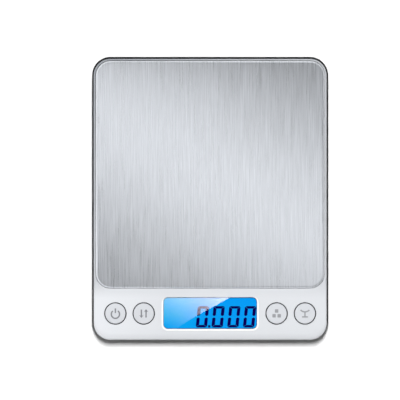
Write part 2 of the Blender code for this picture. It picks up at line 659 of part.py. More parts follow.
def contact_spring(name, wall_x, direction, y, surface):
    """A conical spring between an end wall's contact and a cell's flat end."""
    turns, length, wide, narrow, per_turn = 3.0, 3.9, 3.6, 1.9, 9
    count = int(turns * per_turn)
    points = []
    for i in range(count + 1):
        share = i / count
        angle = 2 * math.pi * turns * share
        radius = wide + (narrow - wide) * share
        points.append((wall_x + direction * length * share, y + radius * math.cos(angle),
                       CELL_Z + radius * math.sin(angle)))
    return wire(name, points, 0.3, surface, samples=0)


def contact_plate(name, side, y, tabs, surface):
    wall = BAY_X - 0.3
    x = sorted((side * wall, side * (wall - CONTACT_THICK)))
    plate = node(name, box(x, y, (3.2, 12.7)), surface)
    tab_x = (wall - 0.2, BAY_X + BAY_WALL + 1.2)
    if tabs:
        add(plate, [box(tab_x, span(tab, 1.0), span(CONTACT_TAB_Z, 0.2)) for tab in tabs], "solder_tab")


def make_power(m):
    front, back = CELL_Y
    node("battery_front", cell_solid(-1, front), m["cell"])
    node("battery_back", cell_solid(1, back), m["cell"])
    contact_plate("battery_contact_bridge", -1, (front - 4.2, back + 4.2), (), m["nickel"])
    contact_plate("battery_contact_negative", 1, span(front, 4.2), (front,), m["nickel"])
    contact_plate("battery_contact_positive", 1, span(back, 4.2), (back,), m["nickel"])
    spring_x = BAY_X - 0.3 - CONTACT_THICK - 0.4
    contact_spring("battery_spring_front", spring_x, -1, front, m["nickel"])
    contact_spring("battery_spring_back", -spring_x, 1, back, m["nickel"])
    start_x = BAY_X + BAY_WALL + 1.8
    red = [(start_x, back, CONTACT_TAB_Z), (31.5, 43.0, 10.6), (34.0, 34.0, 7.0), (34.4, 18.0, 4.2),
           (34.6, 0.0, 4.0), (34.4, -18.0, 4.2), (32.4, -31.0, 6.4), (31.0, -39.0, 9.2),
           (30.9, -43.2, 9.4)]
    black = [(start_x, front, CONTACT_TAB_Z), (31.0, 31.0, 10.2), (32.4, 25.0, 6.5), (32.8, 15.0, 4.2),
             (33.0, 0.0, 4.0), (32.8, -18.0, 4.2), (30.6, -31.0, 6.4), (29.4, -39.0, 9.2),
             (29.3, -43.2, 9.4)]
    wire("battery_lead_red", red, 0.5, m["red"])
    wire("battery_lead_black", black, 0.5, m["dark"])


def make_battery_door(m):
    edge_x = BAY_X + DOOR_LIP - DOOR_GAP
    front, back = BAY_Y[0] - DOOR_LIP + DOOR_GAP, BAY_Y[1] + DOOR_LIP - DOOR_GAP
    axis = joint_axis("battery_door_axis", (0, back, BASE_Z))
    plate = rounded_box(span(0, edge_x), (front, back), 0.8, (BASE_Z, BASE_Z + DOOR_THICK))
    door = node("battery_door", plate, m["black"], axis)
    inside_plate = BASE_Z + DOOR_THICK - 0.3
    hook_top = BASE_Z + 2.8
    arms = [box(span(x, 2.0), (back - 2.2, back - 0.9), (inside_plate, hook_top)) for x in DOOR_HOOK_X]
    latch = box(span(0, 4.0), (BAY_Y[0] + 0.3, BAY_Y[0] + 1.2), (inside_plate, BASE_Z + 2.6))
    add(door, [*arms, latch], "arms")
    hooks = [box(span(x, 2.0), span(back, 1.4), (hook_top - 0.9, hook_top)) for x in DOOR_HOOK_X]
    add(door, hooks, "hooks")
    slit_y, slit_z = (front - PAST, front + 6.0), (BASE_Z - PAST, BASE_Z + 3)
    cut(door, [box(span(x, 0.4), slit_y, slit_z) for x in (-5.2, 5.2)], "latch_slits")
    grip_z = (BASE_Z - PAST, BASE_Z + 0.35)
    cut(door, [box(span(0, 7.0), span(y, 0.35), grip_z) for y in DOOR_GRIP_Y], "grip_lines")


# ---------------------------------------------------------------- fasteners and feet

def make_fasteners(m):
    for i, (x, y) in enumerate(CASE_SCREWS):
        screw(f"case_screw_{i + 1}", x, y, 2.1, 12.8, (SCREW_HEAD_RADIUS, 1.7), 1.3, m["zinc"])


def make_feet(m):
    top = BASE_Z + FOOT_RECESS - CONTACT_GAP
    profile = [(0, 0), (FOOT_RADIUS - 0.6, 0), (FOOT_RADIUS, 0.5), (FOOT_RADIUS, top), (0, top)]
    for place, (x, y) in FEET.items():
        node(f"foot_{place}", turned(profile, x, y, 20), m["rubber"])


def main():
    for old in list(bpy.data.objects):
        bpy.data.objects.remove(old)
    m = make_materials()
    make_lower_shell(m)
    make_upper_housing(m)
    make_platform(m)
    make_load_cell(m)
    make_keys(m)
    make_display(m)
    make_board(m)
    make_power(m)
    make_battery_door(m)
    make_fasteners(m)
    make_feet(m)


main()
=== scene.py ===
"""Looks of the digital gram scale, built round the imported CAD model.

Sizes are in millimetres and the mesh helpers turn them into metres. The frame is the CAD model's:
the origin is at the centre of the footprint, on the bench, +Z is up and the display is at -Y.
"""

import math

import bmesh
import bpy
from mathutils import Matrix, Vector


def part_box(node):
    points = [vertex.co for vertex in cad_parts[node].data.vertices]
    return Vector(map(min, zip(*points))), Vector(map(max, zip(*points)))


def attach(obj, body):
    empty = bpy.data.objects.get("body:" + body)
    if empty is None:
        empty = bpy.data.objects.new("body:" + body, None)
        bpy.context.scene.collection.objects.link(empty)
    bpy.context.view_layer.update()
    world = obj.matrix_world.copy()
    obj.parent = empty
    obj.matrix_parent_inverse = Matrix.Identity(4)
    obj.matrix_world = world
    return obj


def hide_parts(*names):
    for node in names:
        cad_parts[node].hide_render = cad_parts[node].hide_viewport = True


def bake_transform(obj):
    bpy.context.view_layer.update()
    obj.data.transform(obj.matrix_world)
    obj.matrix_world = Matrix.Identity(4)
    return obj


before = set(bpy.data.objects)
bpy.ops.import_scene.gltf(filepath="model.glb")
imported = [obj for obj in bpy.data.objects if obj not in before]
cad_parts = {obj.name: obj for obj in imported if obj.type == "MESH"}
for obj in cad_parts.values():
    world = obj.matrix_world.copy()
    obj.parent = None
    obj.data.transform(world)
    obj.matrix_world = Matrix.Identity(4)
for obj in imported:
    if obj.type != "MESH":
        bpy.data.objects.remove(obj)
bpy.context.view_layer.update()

MM = 0.001
QUARTER = 18  # segments in a quarter turn of an outline
FILLET = 7  # segments in a rounded edge
SEAM = 0.2  # gap between the two halves of the case
PAST = 1.0  # how far a cutter runs on past the face that it opens


def place(name):
    """The x, y and z ranges of a CAD node."""
    low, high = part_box(name)
    return [(a / MM, b / MM) for a, b in zip(low, high)]


def middle(name):
    return [sum(ends) / 2 for ends in place(name)]


# ---- the CAD's places and sizes

KEYS = {name: middle(f"button_{name}")[0] for name in ("power", "mode", "pieces", "tare")}  # their x
FEET = ("front_left", "front_right", "back_left", "back_right")
LOWER = place("lower_shell")
HOUSING = place("upper_housing")
PAN = place("platform_pan")
BEAM = place("load_cell_beam")
DOOR = place("battery_door")
BOARD = place("main_pcb")
LCD = place("lcd_glass")
CASE_SCREWS = [middle(f"case_screw_{i}") for i in (1, 2, 3, 4)]
BASE_SCREWS = [middle(f"load_cell_base_screw_{i}") for i in (1, 2)]
BOARD_SCREWS = [middle(f"pcb_screw_{i}") for i in (1, 2, 3)]
STOP_SCREW = middle("overload_stop_screw")
BASE_Z = LOWER[2][0]
PARTING_Z = LOWER[2][1]
TOP_Z = HOUSING[2][1]
PAN_TOP = PAN[2][1]
PAN_Y = sum(PAN[1]) / 2
KEY_Y = middle("button_power")[1]
CELL_ENDS = (("front", -1), ("back", 1))  # the way along X that each cell's positive end faces
CELL_Y = {name: middle(f"battery_{name}")[1] for name, _ in CELL_ENDS}
CELL_Z = middle("battery_front")[2]
CELL_RADIUS = CELL_Z - place("battery_front")[2][0]
CORNER = 8.2  # radius of the lower shell's corners, seen from above
HOUSING_CORNER = CORNER - (LOWER[0][1] - HOUSING[0][1])
RECESS_Z = 15.5  # floor of the recess that the pan sits in
PAN_CORNER = 6.6
PAN_GAP = 0.2  # between the pan and the control panel
RIM_GAP = 0.35  # between the pan and the rim at its sides and back
WALL = 1.6  # of the upper housing
NOSE_BACK, NOSE_DROP = 3.2, 1.2  # how far the panel's front edge rolls over
HOLE_Z = 14.4  # where the holes for the keys and the window start
WINDOW_HALF = (21.0, 7.1)
WINDOW_Y = middle("display_window")[1]
WINDOW_Z = place("display_window")[2][1]
BAY = [(-25.5, 25.5), (28.0, 50.4), (BASE_Z, 13.2)]
DOOR_SEAT = 0.3  # gap round the battery door
DOOR_TOP = BASE_Z + 1.25
HOOK_X = (-16.0, 16.0)
RIGHT, BACK, UP = (1.0, 0.0, 0.0), (0.0, 1.0, 0.0), (0.0, 0.0, 1.0)


# ---- outlines

def span(centre, half):
    return (centre - half, centre + half)


def past(z):
    """A range of heights that runs on past both faces."""
    return (z[0] - PAST, z[1] + PAST)


def angles(start, end, steps):
    """Angles in radians from start to end, which are in degrees and both included."""
    return [math.radians(start + (end - start) * i / steps) for i in range(steps + 1)]


def arc(cx, cy, radius, start, end, steps=QUARTER):
    return [(cx + radius * math.cos(a), cy + radius * math.sin(a)) for a in angles(start, end, steps)]


def rounded(x, y, radius, inset=0.0, steps=QUARTER):
    """A rounded rectangle, anticlockwise, from its x and y ranges, brought in by inset."""
    x0, x1, y0, y1 = x[0] + inset, x[1] - inset, y[0] + inset, y[1] - inset
    r = max(radius - inset, 0.05)
    centres = ((x1 - r, y1 - r), (x0 + r, y1 - r), (x0 + r, y0 + r), (x1 - r, y0 + r))
    return [p for i, (cx, cy) in enumerate(centres) for p in arc(cx, cy, r, 90 * i, 90 * i + 90, steps)]


def lower_outline(inset=0.0):
    return rounded(LOWER[0], LOWER[1], CORNER, inset)


def pan_outline(inset=0.0):
    return rounded(PAN[0], PAN[1], PAN_CORNER, inset)


def recess_outline(inset=0.0):
    x = (PAN[0][0] - RIM_GAP, PAN[0][1] + RIM_GAP)
    y = (PAN[1][0] - PAN_GAP, PAN[1][1] + RIM_GAP)
    return rounded(x, y, PAN_CORNER + PAN_GAP, inset)


def window_outline(inset=0.0):
    return rounded(span(0, WINDOW_HALF[0]), span(WINDOW_Y, WINDOW_HALF[1]), 2.0, inset, 8)


def lip_outline(inset=0.0):
    """The outside of the lip round the window, which is narrow along the back. Its pale colour is a
    painted highlight of the lit bevel, left narrow along the back where that edge is in shade.
    """
    back = WINDOW_Y + WINDOW_HALF[1] + 0.8 * inset
    return rounded(span(0, WINDOW_HALF[0]), (WINDOW_Y - WINDOW_HALF[1], back), 2.0, inset, 8)


def rounded_edge(inset, z, radius, top=True, steps=FILLET):
    """(inset, z) levels of a rounded edge that ends at z, from the bottom up."""
    if top:
        return arc(inset + radius, z - radius, radius, 180, 90, steps)
    return arc(inset + radius, z + radius, radius, 270, 180, steps)


# ---- meshes

def skin(bm, rings):
    """Faces between each ring of vertices and the next."""
    for low, high in zip(rings, rings[1:]):
        for i in range(len(low)):
            j = (i + 1) % len(low)
            bm.faces.new((low[i], low[j], high[j], high[i]))


def ring_solid(levels):
    """A closed solid skinned over rings of points, with flat ends."""
    bm = bmesh.new()
    rings = [[bm.verts.new(Vector(p) * MM) for p in ring] for ring in levels]
    skin(bm, rings)
    bm.faces.new(list(reversed(rings[0])))
    bm.faces.new(rings[-1])
    return bm


def block(outline, levels):
    """A solid from outline(inset) at each (inset, z) in levels, from the bottom up."""
    return ring_solid([[(x, y, z) for x, y in outline(inset)] for inset, z in levels])


def prism(points, z):
    return ring_solid([[(px, py, level) for px, py in points] for level in z])


def slab(x, y, radius, z, steps=6):
    return prism(rounded(x, y, radius, steps=steps), z)


def box(x, y, z):
    return prism([(x[1], y[1]), (x[0], y[1]), (x[0], y[0]), (x[1], y[0])], z)


def soft_box(x, y, z, width=0.2):
    """A box whose edges are all rounded."""
    bm = box(x, y, z)
    bmesh.ops.bevel(bm, geom=bm.edges[:], offset=width * MM, segments=3, profile=0.5, affect="EDGES")
    return bm


def circle(segments):
    """The angles of a circle's points."""
    return [2 * math.pi * i / segments for i in range(segments)]


def spun(bm, profile, x, y, segments):
    """A ring of vertices about the vertical line at x, y for each (radius, z) point."""
    turns = circle(segments)
    return [
        [bm.verts.new(Vector((x + r * math.cos(a), y + r * math.sin(a), z)) * MM) for a in turns]
        for r, z in profile
    ]


def turned(profile, x=0.0, y=0.0, segments=64):
    """A solid of revolution from (radius, z) points, with its first and last point on the axis."""
    bm = bmesh.new()
    low = bm.verts.new(Vector((x, y, profile[0][1])) * MM)
    high = bm.verts.new(Vector((x, y, profile[-1][1])) * MM)
    rings = spun(bm, profile[1:-1], x, y, segments)
    for i in range(segments):
        j = (i + 1) % segments
        bm.faces.new((low, rings[0][j], rings[0][i]))
        for a, b in zip(rings, rings[1:]):
            bm.faces.new((a[i], a[j], b[j], b[i]))
        bm.faces.new((rings[-1][i], rings[-1][j], high))
    return bm


def cylinder(x, y, radius, z, segments=48):
    return turned([(0, z[0]), (radius, z[0]), (radius, z[1]), (0, z[1])], x, y, segments)


def cylinders(centres, radius, z, segments=48):
    return [cylinder(centre[0], centre[1], radius, z, segments) for centre in centres]


def hoop(profile, segments=64):
    """A ring about Z from a closed loop of (radius, z) points."""
    bm = bmesh.new()
    rings = spun(bm, profile, 0.0, 0.0, segments)
    skin(bm, rings + rings[:1])
    return bm


def smooth_path(points, samples):
    """Points along a Catmull-Rom curve through the given ones, samples to a span."""
    ends = [points[0], *points, points[-1]]
    path = []
    for a, b, c, d in zip(ends, ends[1:], ends[2:], ends[3:]):
        a, b, c, d = (Vector(p) for p in (a, b, c, d))
        for i in range(samples):
            t = i / samples
            path.append(
                0.5 * (2 * b + (c - a) * t + (2 * a - 5 * b + 4 * c - d) * t**2
                       + (3 * b - a - 3 * c + d) * t**3)
            )
    return [*path, Vector(points[-1])]


def pipe(path, radius, sides=16):
    """A closed round tube along a path, whose rings don't twist."""
    path = [Vector(p) for p in path]
    last = len(path) - 1
    ahead = (path[1] - path[0]).normalized()
    across = ahead.orthogonal().normalized()
    rings = []
    for i, centre in enumerate(path):
        ahead = (path[min(i + 1, last)] - path[max(i - 1, 0)]).normalized()
        across = (across - ahead * across.dot(ahead)).normalized()
        other = ahead.cross(across)
        rings.append([centre + radius * (math.cos(a) * across + math.sin(a) * other)
                      for a in circle(sides)])
    return ring_solid(rings)


def laid_along(bm, axis):
    """Turns a solid made about Z so that its axis lies along X or Y."""
    bm.transform(Matrix.Rotation(math.radians(90), 4, "Y" if axis == "X" else "X"))
    return bm


def moved(bm, x=0.0, y=0.0, z=0.0):
    bm.transform(Matrix.Translation(Vector((x, y, z)) * MM))
    return bm


def merged(parts):
    """Several separate solids in one mesh."""
    whole = bmesh.new()
    for part in parts:
        mesh = bpy.data.meshes.new("part")
        part.to_mesh(mesh)
        part.free()
        whole.from_mesh(mesh)
        bpy.data.meshes.remove(mesh)
    return whole


# ---- pieces

def linked(name, data):
    made = bpy.data.objects.new(name, data)
    bpy.context.scene.collection.objects.link(made)
    return made


def make(name, bm, surface=None):
    mesh = bpy.data.meshes.new(name)
    bmesh.ops.recalc_face_normals(bm, faces=bm.faces)
    bm.to_mesh(mesh)
    bm.free()
    if surface:
        mesh.materials.append(surface)
    return linked(name, mesh)


def combine(target, parts, operation):
    """A Boolean of target with several separate solids, applied at once."""
    tool = make("tool", merged(parts))
    modifier = target.modifiers.new("shape", "BOOLEAN")
    modifier.operation = operation
    modifier.object = tool
    modifier.solver = "EXACT"
    bpy.context.view_layer.update()
    shaped = target.evaluated_get(bpy.context.evaluated_depsgraph_get())
    mesh = bpy.data.meshes.new_from_object(shaped)
    target.modifiers.clear()
    target.data = mesh
    bpy.data.objects.remove(tool)
    bm = bmesh.new()
    bm.from_mesh(mesh)
    bmesh.ops.remove_doubles(bm, verts=bm.verts, dist=1e-7)
    bmesh.ops.dissolve_degenerate(bm, edges=bm.edges, dist=1e-7)
    bm.to_mesh(mesh)
    bm.free()
    return target


def cut(target, parts):
    return combine(target, parts, "DIFFERENCE")


def add(target, parts):
    return combine(target, parts, "UNION")


def smoothed(piece, replaces, angle):
    """Smooths a piece and hides the CAD nodes that it stands for."""
    piece.data.shade_smooth()
    piece.data.set_sharp_from_angle(angle=math.radians(angle))
    weighted = piece.modifiers.new("normals", "WEIGHTED_NORMAL")
    weighted.keep_sharp = True
    if replaces:
        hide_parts(*replaces)


def finished(piece, body, replaces=(), angle=32.0):
    smoothed(piece, replaces, angle)
    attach(piece, body)


def fixed(piece, replaces=(), angle=32.0):
    """Finishes a piece that stays with the case."""
    finished(piece, "base", replaces, angle)


# ---- materials

def shader(name, colour, roughness, metallic=0.0, **sockets):
    made = bpy.data.materials.new(name)
    made.use_nodes = True
    surface = made.node_tree.nodes["Principled BSDF"]
    surface.inputs["Base Color"].default_value = (*colour, 1.0)
    surface.inputs["Roughness"].default_value = roughness
    surface.inputs["Metallic"].default_value = metallic
    for key, value in sockets.items():
        surface.inputs[key.replace("_", " ")].default_value = value
    return made


def new_node(tree, kind):
    return tree.nodes.new(f"ShaderNode{kind}")


def noise(tree, scale, detail=2.0, stretch=(1.0, 1.0, 1.0)):
    """A noise texture in the object's own coordinates; scale is features to a metre."""
    place_node = new_node(tree, "TexCoord")
    mapping = new_node(tree, "Mapping")
    mapping.inputs["Scale"].default_value = stretch
    texture = new_node(tree, "TexNoise")
    texture.inputs["Scale"].default_value = scale
    texture.inputs["Detail"].default_value = detail
    tree.links.new(place_node.outputs["Object"], mapping.inputs["Vector"])
    tree.links.new(mapping.outputs["Vector"], texture.inputs["Vector"])
    return texture.outputs["Fac"]


def remap(tree, value, low, high, source=(0.3, 0.7)):
    node = new_node(tree, "MapRange")
    node.inputs["From Min"].default_value, node.inputs["From Max"].default_value = source
    node.inputs["To Min"].default_value, node.inputs["To Max"].default_value = low, high
    tree.links.new(value, node.inputs["Value"])
    return node.outputs["Result"]


def math_node(tree, operation, *values):
    node = new_node(tree, "Math")
    node.operation = operation
    for socket, value in zip(node.inputs, values):
        if isinstance(value, (int, float)):
            socket.default_value = value
        else:
            tree.links.new(value, socket)
    return node.outputs["Value"]


def product(tree, *values):
    """The values multiplied together, the first of which is a socket."""
    total = values[0]
    for value in values[1:]:
        total = math_node(tree, "MULTIPLY", total, value)
    return total


def along(tree, direction, origin=(0.0, 0.0, 0.0)):
    """Distance in metres from origin along a direction, on the surface."""
    place_node = new_node(tree, "TexCoord")
    shift = new_node(tree, "VectorMath")
    shift.operation = "SUBTRACT"
    shift.inputs[1].default_value = origin
    dot = new_node(tree, "VectorMath")
    dot.operation = "DOT_PRODUCT"
    dot.inputs[1].default_value = direction
    tree.links.new(place_node.outputs["Object"], shift.inputs[0])
    tree.links.new(shift.outputs["Vector"], dot.inputs[0])
    return dot.outputs["Value"]


def mixed(tree, value, low, high):
    """A colour that goes from low to high as value goes from 0 to 1."""
    mix = new_node(tree, "Mix")
    mix.data_type = "RGBA"
    tree.links.new(value, mix.inputs["Factor"])
    for key, colour in (("A", low), ("B", high)):
        if isinstance(colour, bpy.types.NodeSocket):
            tree.links.new(colour, mix.inputs[key])
        else:
            mix.inputs[key].default_value = (*colour, 1.0)
    return mix.outputs["Result"]


def blend_colours(tree, value, low, high, socket="Base Color"):
    """Drives a colour of the surface from low to high as value goes from 0 to 1."""
    tree.links.new(mixed(tree, value, low, high), tree.nodes["Principled BSDF"].inputs[socket])


def shades(colour, spread):
    """A darker and a lighter shade of a colour."""
    return [c * (1 - spread) for c in colour], [min(1.0, c * (1 + spread)) for c in colour]


def relief(tree, value, depth_mm):
    bump = new_node(tree, "Bump")
    bump.inputs["Distance"].default_value = depth_mm * MM
    tree.links.new(value, bump.inputs["Height"])
    tree.links.new(bump.outputs["Normal"], tree.nodes["Principled BSDF"].inputs["Normal"])


def surfaced(name, colour, roughness, metallic=0.0, grain=3000, depth=0.004, spread=0.05, **sockets):
    """A surface with a fine grain in its gloss and relief, and a broad drift in its colour. The grain
    is in features to a metre, the depth of the relief in mm, and the spread is a share of the colour."""
    made = shader(name, colour, roughness, metallic, **sockets)
    tree = made.node_tree
    fine = noise(tree, grain, 3.0)
    broad = noise(tree, grain / 40, 2.0)
    blend_colours(tree, remap(tree, broad, 0.0, 1.0), *shades(colour, spread))
    gloss = remap(tree, fine, roughness - 0.05, roughness + 0.05)
    tree.links.new(gloss, tree.nodes["Principled BSDF"].inputs["Roughness"])
    relief(tree, fine, depth)
    return made


def brushed_steel():
    """Steel brushed along Y: long streaks in colour, gloss and relief, and a stretched sheen."""
    colour = (0.655, 0.67, 0.70)
    made = shader("brushed_steel", colour, 0.3, 1.0, Anisotropic=0.9)
    tree = made.node_tree
    surface = tree.nodes["Principled BSDF"]
    wide = noise(tree, 3300.0, 2.0, (1.0, 0.014, 0.014))
    fine = noise(tree, 6500.0, 2.0, (1.0, 0.012, 0.012))
    streaks = remap(tree, math_node(tree, "ADD", wide, fine), 0.0, 1.0, (0.7, 1.3))
    blend_colours(tree, streaks, *shades(colour, 0.19))
    tree.links.new(remap(tree, streaks, 0.26, 0.35, (0.0, 1.0)), surface.inputs["Roughness"])
    relief(tree, streaks, 0.002)
    tangent = new_node(tree, "Tangent")
    tangent.direction_type = "UV_MAP"
    tangent.uv_map = "brush"
    tree.links.new(tangent.outputs["Tangent"], surface.inputs["Tangent"])
    return made


def glowing(name, colour, strength):
    made = shader(name, (0.0, 0.0, 0.0), 0.6, Specular_IOR_Level=0.0)
    surface = made.node_tree.nodes["Principled BSDF"]
    surface.inputs["Emission Color"].default_value = (*colour, 1.0)
    surface.inputs["Emission Strength"].default_value = strength
    return made


def housing_paint_and_painted_light(name, dark, above):
    """Silver paint with painted light and shade: painted paler at the left, with painted shade by the
    pan and along the front edge. Round the pan it turns dark towards the back and the left, where it is
    higher than above, a painted shade on the rim and in the recess."""
    colour = (0.58, 0.595, 0.62)
    made = surfaced(name, colour, 0.36, spread=0.0)
    tree = made.node_tree
    across, depth, height = (along(tree, axis) for axis in (RIGHT, BACK, UP))
    front = PAN[1][0] * MM
    # Painted light and shade on the panel: paler at the left, painted shade by the pan and along the
    # front edge.
    left = remap(tree, across, 1.0, 0.55, (-0.05, -0.02))
    painted_pan_shade = remap(tree, depth, 1.0, 0.2, (front - 0.0045, front))
    painted_front_shade = remap(tree, depth, 0.8, 1.0, (HOUSING[1][0] * MM, HOUSING[1][0] * MM + 0.006))
    paint = mixed(tree, product(tree, left, painted_pan_shade, painted_front_shade), *shades(colour, 0.12))

    # Painted shade round the pan, darkest at the back and the left.
    back = remap(tree, depth, 0.3, 1.0, (front, PAN[1][1] * MM))
    sides = remap(tree, across, 1.0, 0.4, (-0.05, 0.05))
    pan_side = remap(tree, depth, 0.0, 1.0, (front - 0.001, front + 0.004))
    high = remap(tree, height, 0.0, 1.0, (above - 1e-4, above + 1e-4))
    blend_colours(tree, product(tree, back, sides, pan_side, high), paint, dark)
    return made


def lcd_backlight():
    """A blue panel, a little greener at its back left, a painted tint of the reflection that falls
    there.
    """
    blue, painted_glare_tint = (0.003, 0.36, 0.99), (0.004, 0.465, 0.93)
    made = glowing("lcd_glow", blue, 1.0)
    tree = made.node_tree
    left = remap(tree, along(tree, RIGHT), 1.0, 0.0, (-0.013, -0.003))
    depth = along(tree, BACK, (0.0, WINDOW_Y * MM, 0.0))
    share = product(tree, left, remap(tree, depth, 0.0, 1.0, (-0.009, -0.001)))
    blend_colours(tree, share, blue, painted_glare_tint, "Emission Color")
    return made


def cell_jacket(name, direction):
    """Blue foil with a pale band at the cell's positive end."""
    blue, pale, band_x = (0.02, 0.07, 0.22), (0.55, 0.56, 0.58), 0.0135
    made = surfaced(name, blue, 0.25, 0.6, grain=2500, depth=0.003, spread=0.1)
    tree = made.node_tree
    edge = along(tree, (direction, 0.0, 0.0), (direction * band_x, 0.0, 0.0))
    blend_colours(tree, remap(tree, edge, 0.0, 1.0, (0.0, 0.0002)), blue, pale)
    return made


def zebra_rubber():
    """Thin black layers between clear ones, across the strip."""
    clear, turns = (0.5, 0.5, 0.48), 21000.0  # turns in radians to a metre
    made = surfaced("zebra_rubber", clear, 0.5, grain=2500, depth=0.003)
    tree = made.node_tree
    wave = math_node(tree, "SINE", product(tree, along(tree, RIGHT), turns))
    blend_colours(tree, remap(tree, wave, 0.0, 1.0, (-0.2, 0.2)), (0.02, 0.02, 0.02), clear)
    return made


STEEL = brushed_steel()
# Silver with painted light and shade; its dark colour is painted shade on the rim.
SILVER_WITH_PAINTED_LIGHT = housing_paint_and_painted_light("housing_silver_painted_light", dark=(0.25, 0.265, 0.29), above=0.0163)
# The recess floor painted almost black: painted shade in the gap round the pan.
RECESS_PAINTED_SHADE = housing_paint_and_painted_light("recess_floor_painted_shade", dark=(0.06, 0.065, 0.07), above=0.0)
CAP = surfaced("key_plastic", (0.545, 0.56, 0.59), 0.4, spread=0.02)
# Near-white lip: a painted highlight of the window's lit bevel.
LIP_PAINTED_HIGHLIGHT = surfaced("window_lip_painted_highlight", (0.86, 0.86, 0.86), 0.25, depth=0.002, spread=0.01)
BLACK = surfaced("black_plastic", (0.009, 0.009, 0.01), 0.5, grain=3500, depth=0.02, spread=0.15,
                 Specular_IOR_Level=0.3)
# The LCD's printed border, which also serves as painted shade round the window.
BORDER_AND_PAINTED_SHADE = surfaced("lcd_border_and_painted_shade", (0.03, 0.1, 0.2), 0.5, grain=4000, depth=0.002)
INK = surfaced("legend_ink", (0.17, 0.175, 0.19), 0.5, grain=4000, depth=0.002)
FAINT_INK = surfaced("faint_legend_ink", (0.26, 0.265, 0.28), 0.5, grain=4000, depth=0.002)
LABEL = surfaced("label_foil", (0.5, 0.5, 0.5), 0.45, 0.3, grain=2500, depth=0.003, spread=0.03)
RUBBER = surfaced("foot_rubber", (0.03, 0.03, 0.032), 0.8, depth=0.03, spread=0.2)
BOARD_GREEN = surfaced("solder_mask", (0.01, 0.13, 0.05), 0.35, grain=1500, depth=0.006, spread=0.15)
TRACE_GREEN = surfaced("masked_copper", (0.03, 0.22, 0.09), 0.3, grain=1500, spread=0.1)
SOLDER = surfaced("solder", (0.62, 0.62, 0.60), 0.28, 1.0, depth=0.006, spread=0.06)
ZINC = surfaced("zinc_plate", (0.55, 0.56, 0.58), 0.32, 1.0, grain=4000, depth=0.003, spread=0.06)
NICKEL = surfaced("nickel_plate", (0.70, 0.68, 0.63), 0.22, 1.0, grain=4000, depth=0.002, spread=0.04)
ALUMINIUM = surfaced("machined_aluminium", (0.72, 0.73, 0.74), 0.34, 1.0, grain=4000, spread=0.04)
EPOXY = surfaced("black_epoxy", (0.012, 0.012, 0.013), 0.28, grain=2500, depth=0.006, spread=0.2)
SILICONE = surfaced("silicone", (0.62, 0.62, 0.60), 0.55, grain=2500, depth=0.01)
FOAM = surfaced("foam_tape", (0.55, 0.55, 0.5), 0.9, grain=2200, depth=0.04, spread=0.08)
WHITE = surfaced("white_plastic", (0.75, 0.75, 0.73), 0.45, spread=0.02)
RED = surfaced("red_insulation", (0.5, 0.015, 0.012), 0.4, spread=0.08)
DARK = surfaced("black_insulation", (0.015, 0.015, 0.015), 0.4, spread=0.1)
GREY = surfaced("grey_sheath", (0.3, 0.3, 0.31), 0.5, depth=0.006)
LCD_GLOW = lcd_backlight()
SEGMENT = glowing("lcd_segment", (0.004, 0.0, 0.09), 1.0)
GUIDE = glowing("light_guide", (0.25, 0.6, 1.0), 1.5)
CLEAR = shader("clear_acrylic", (1.0, 1.0, 1.0), 0.0, IOR=1.49, Transmission_Weight=1.0)


# ---- weighing pan

def make_pan():
    thick, edge, burr = 0.6, 1.0, 0.06  # the sheet, its rounded edge and the chamfer at its rim
    low, high = PAN[2]
    outer = [(burr, low), (0.0, low + burr)] + rounded_edge(0.0, high, edge, steps=10)
    pan = make("pan_steel", block(pan_outline, outer), STEEL)
    inner = [(thick - burr, low - PAST), (thick - burr, low), (thick, low + burr)]
    inner += rounded_edge(thick, high - thick, edge - thick, steps=6)
    cut(pan, [block(pan_outline, inner)])
    layer = pan.data.uv_layers.new(name="brush")
    for loop in pan.data.loops:
        co = pan.data.vertices[loop.vertex_index].co
        layer.data[loop.index].uv = (co.x * 8, co.y * 8)
    finished(pan, "platform", ("platform_pan",))


# ---- upper housing

def housing_ring(inset, nose, z):
    """The housing's outline at one height, with its front edge brought back by nose."""
    x, y = HOUSING[0], HOUSING[1]
    ring = rounded((x[0] + inset, x[1] - inset), (y[0] + nose, y[1] - inset), HOUSING_CORNER - inset)
    return [(px, py, z) for px, py in ring]


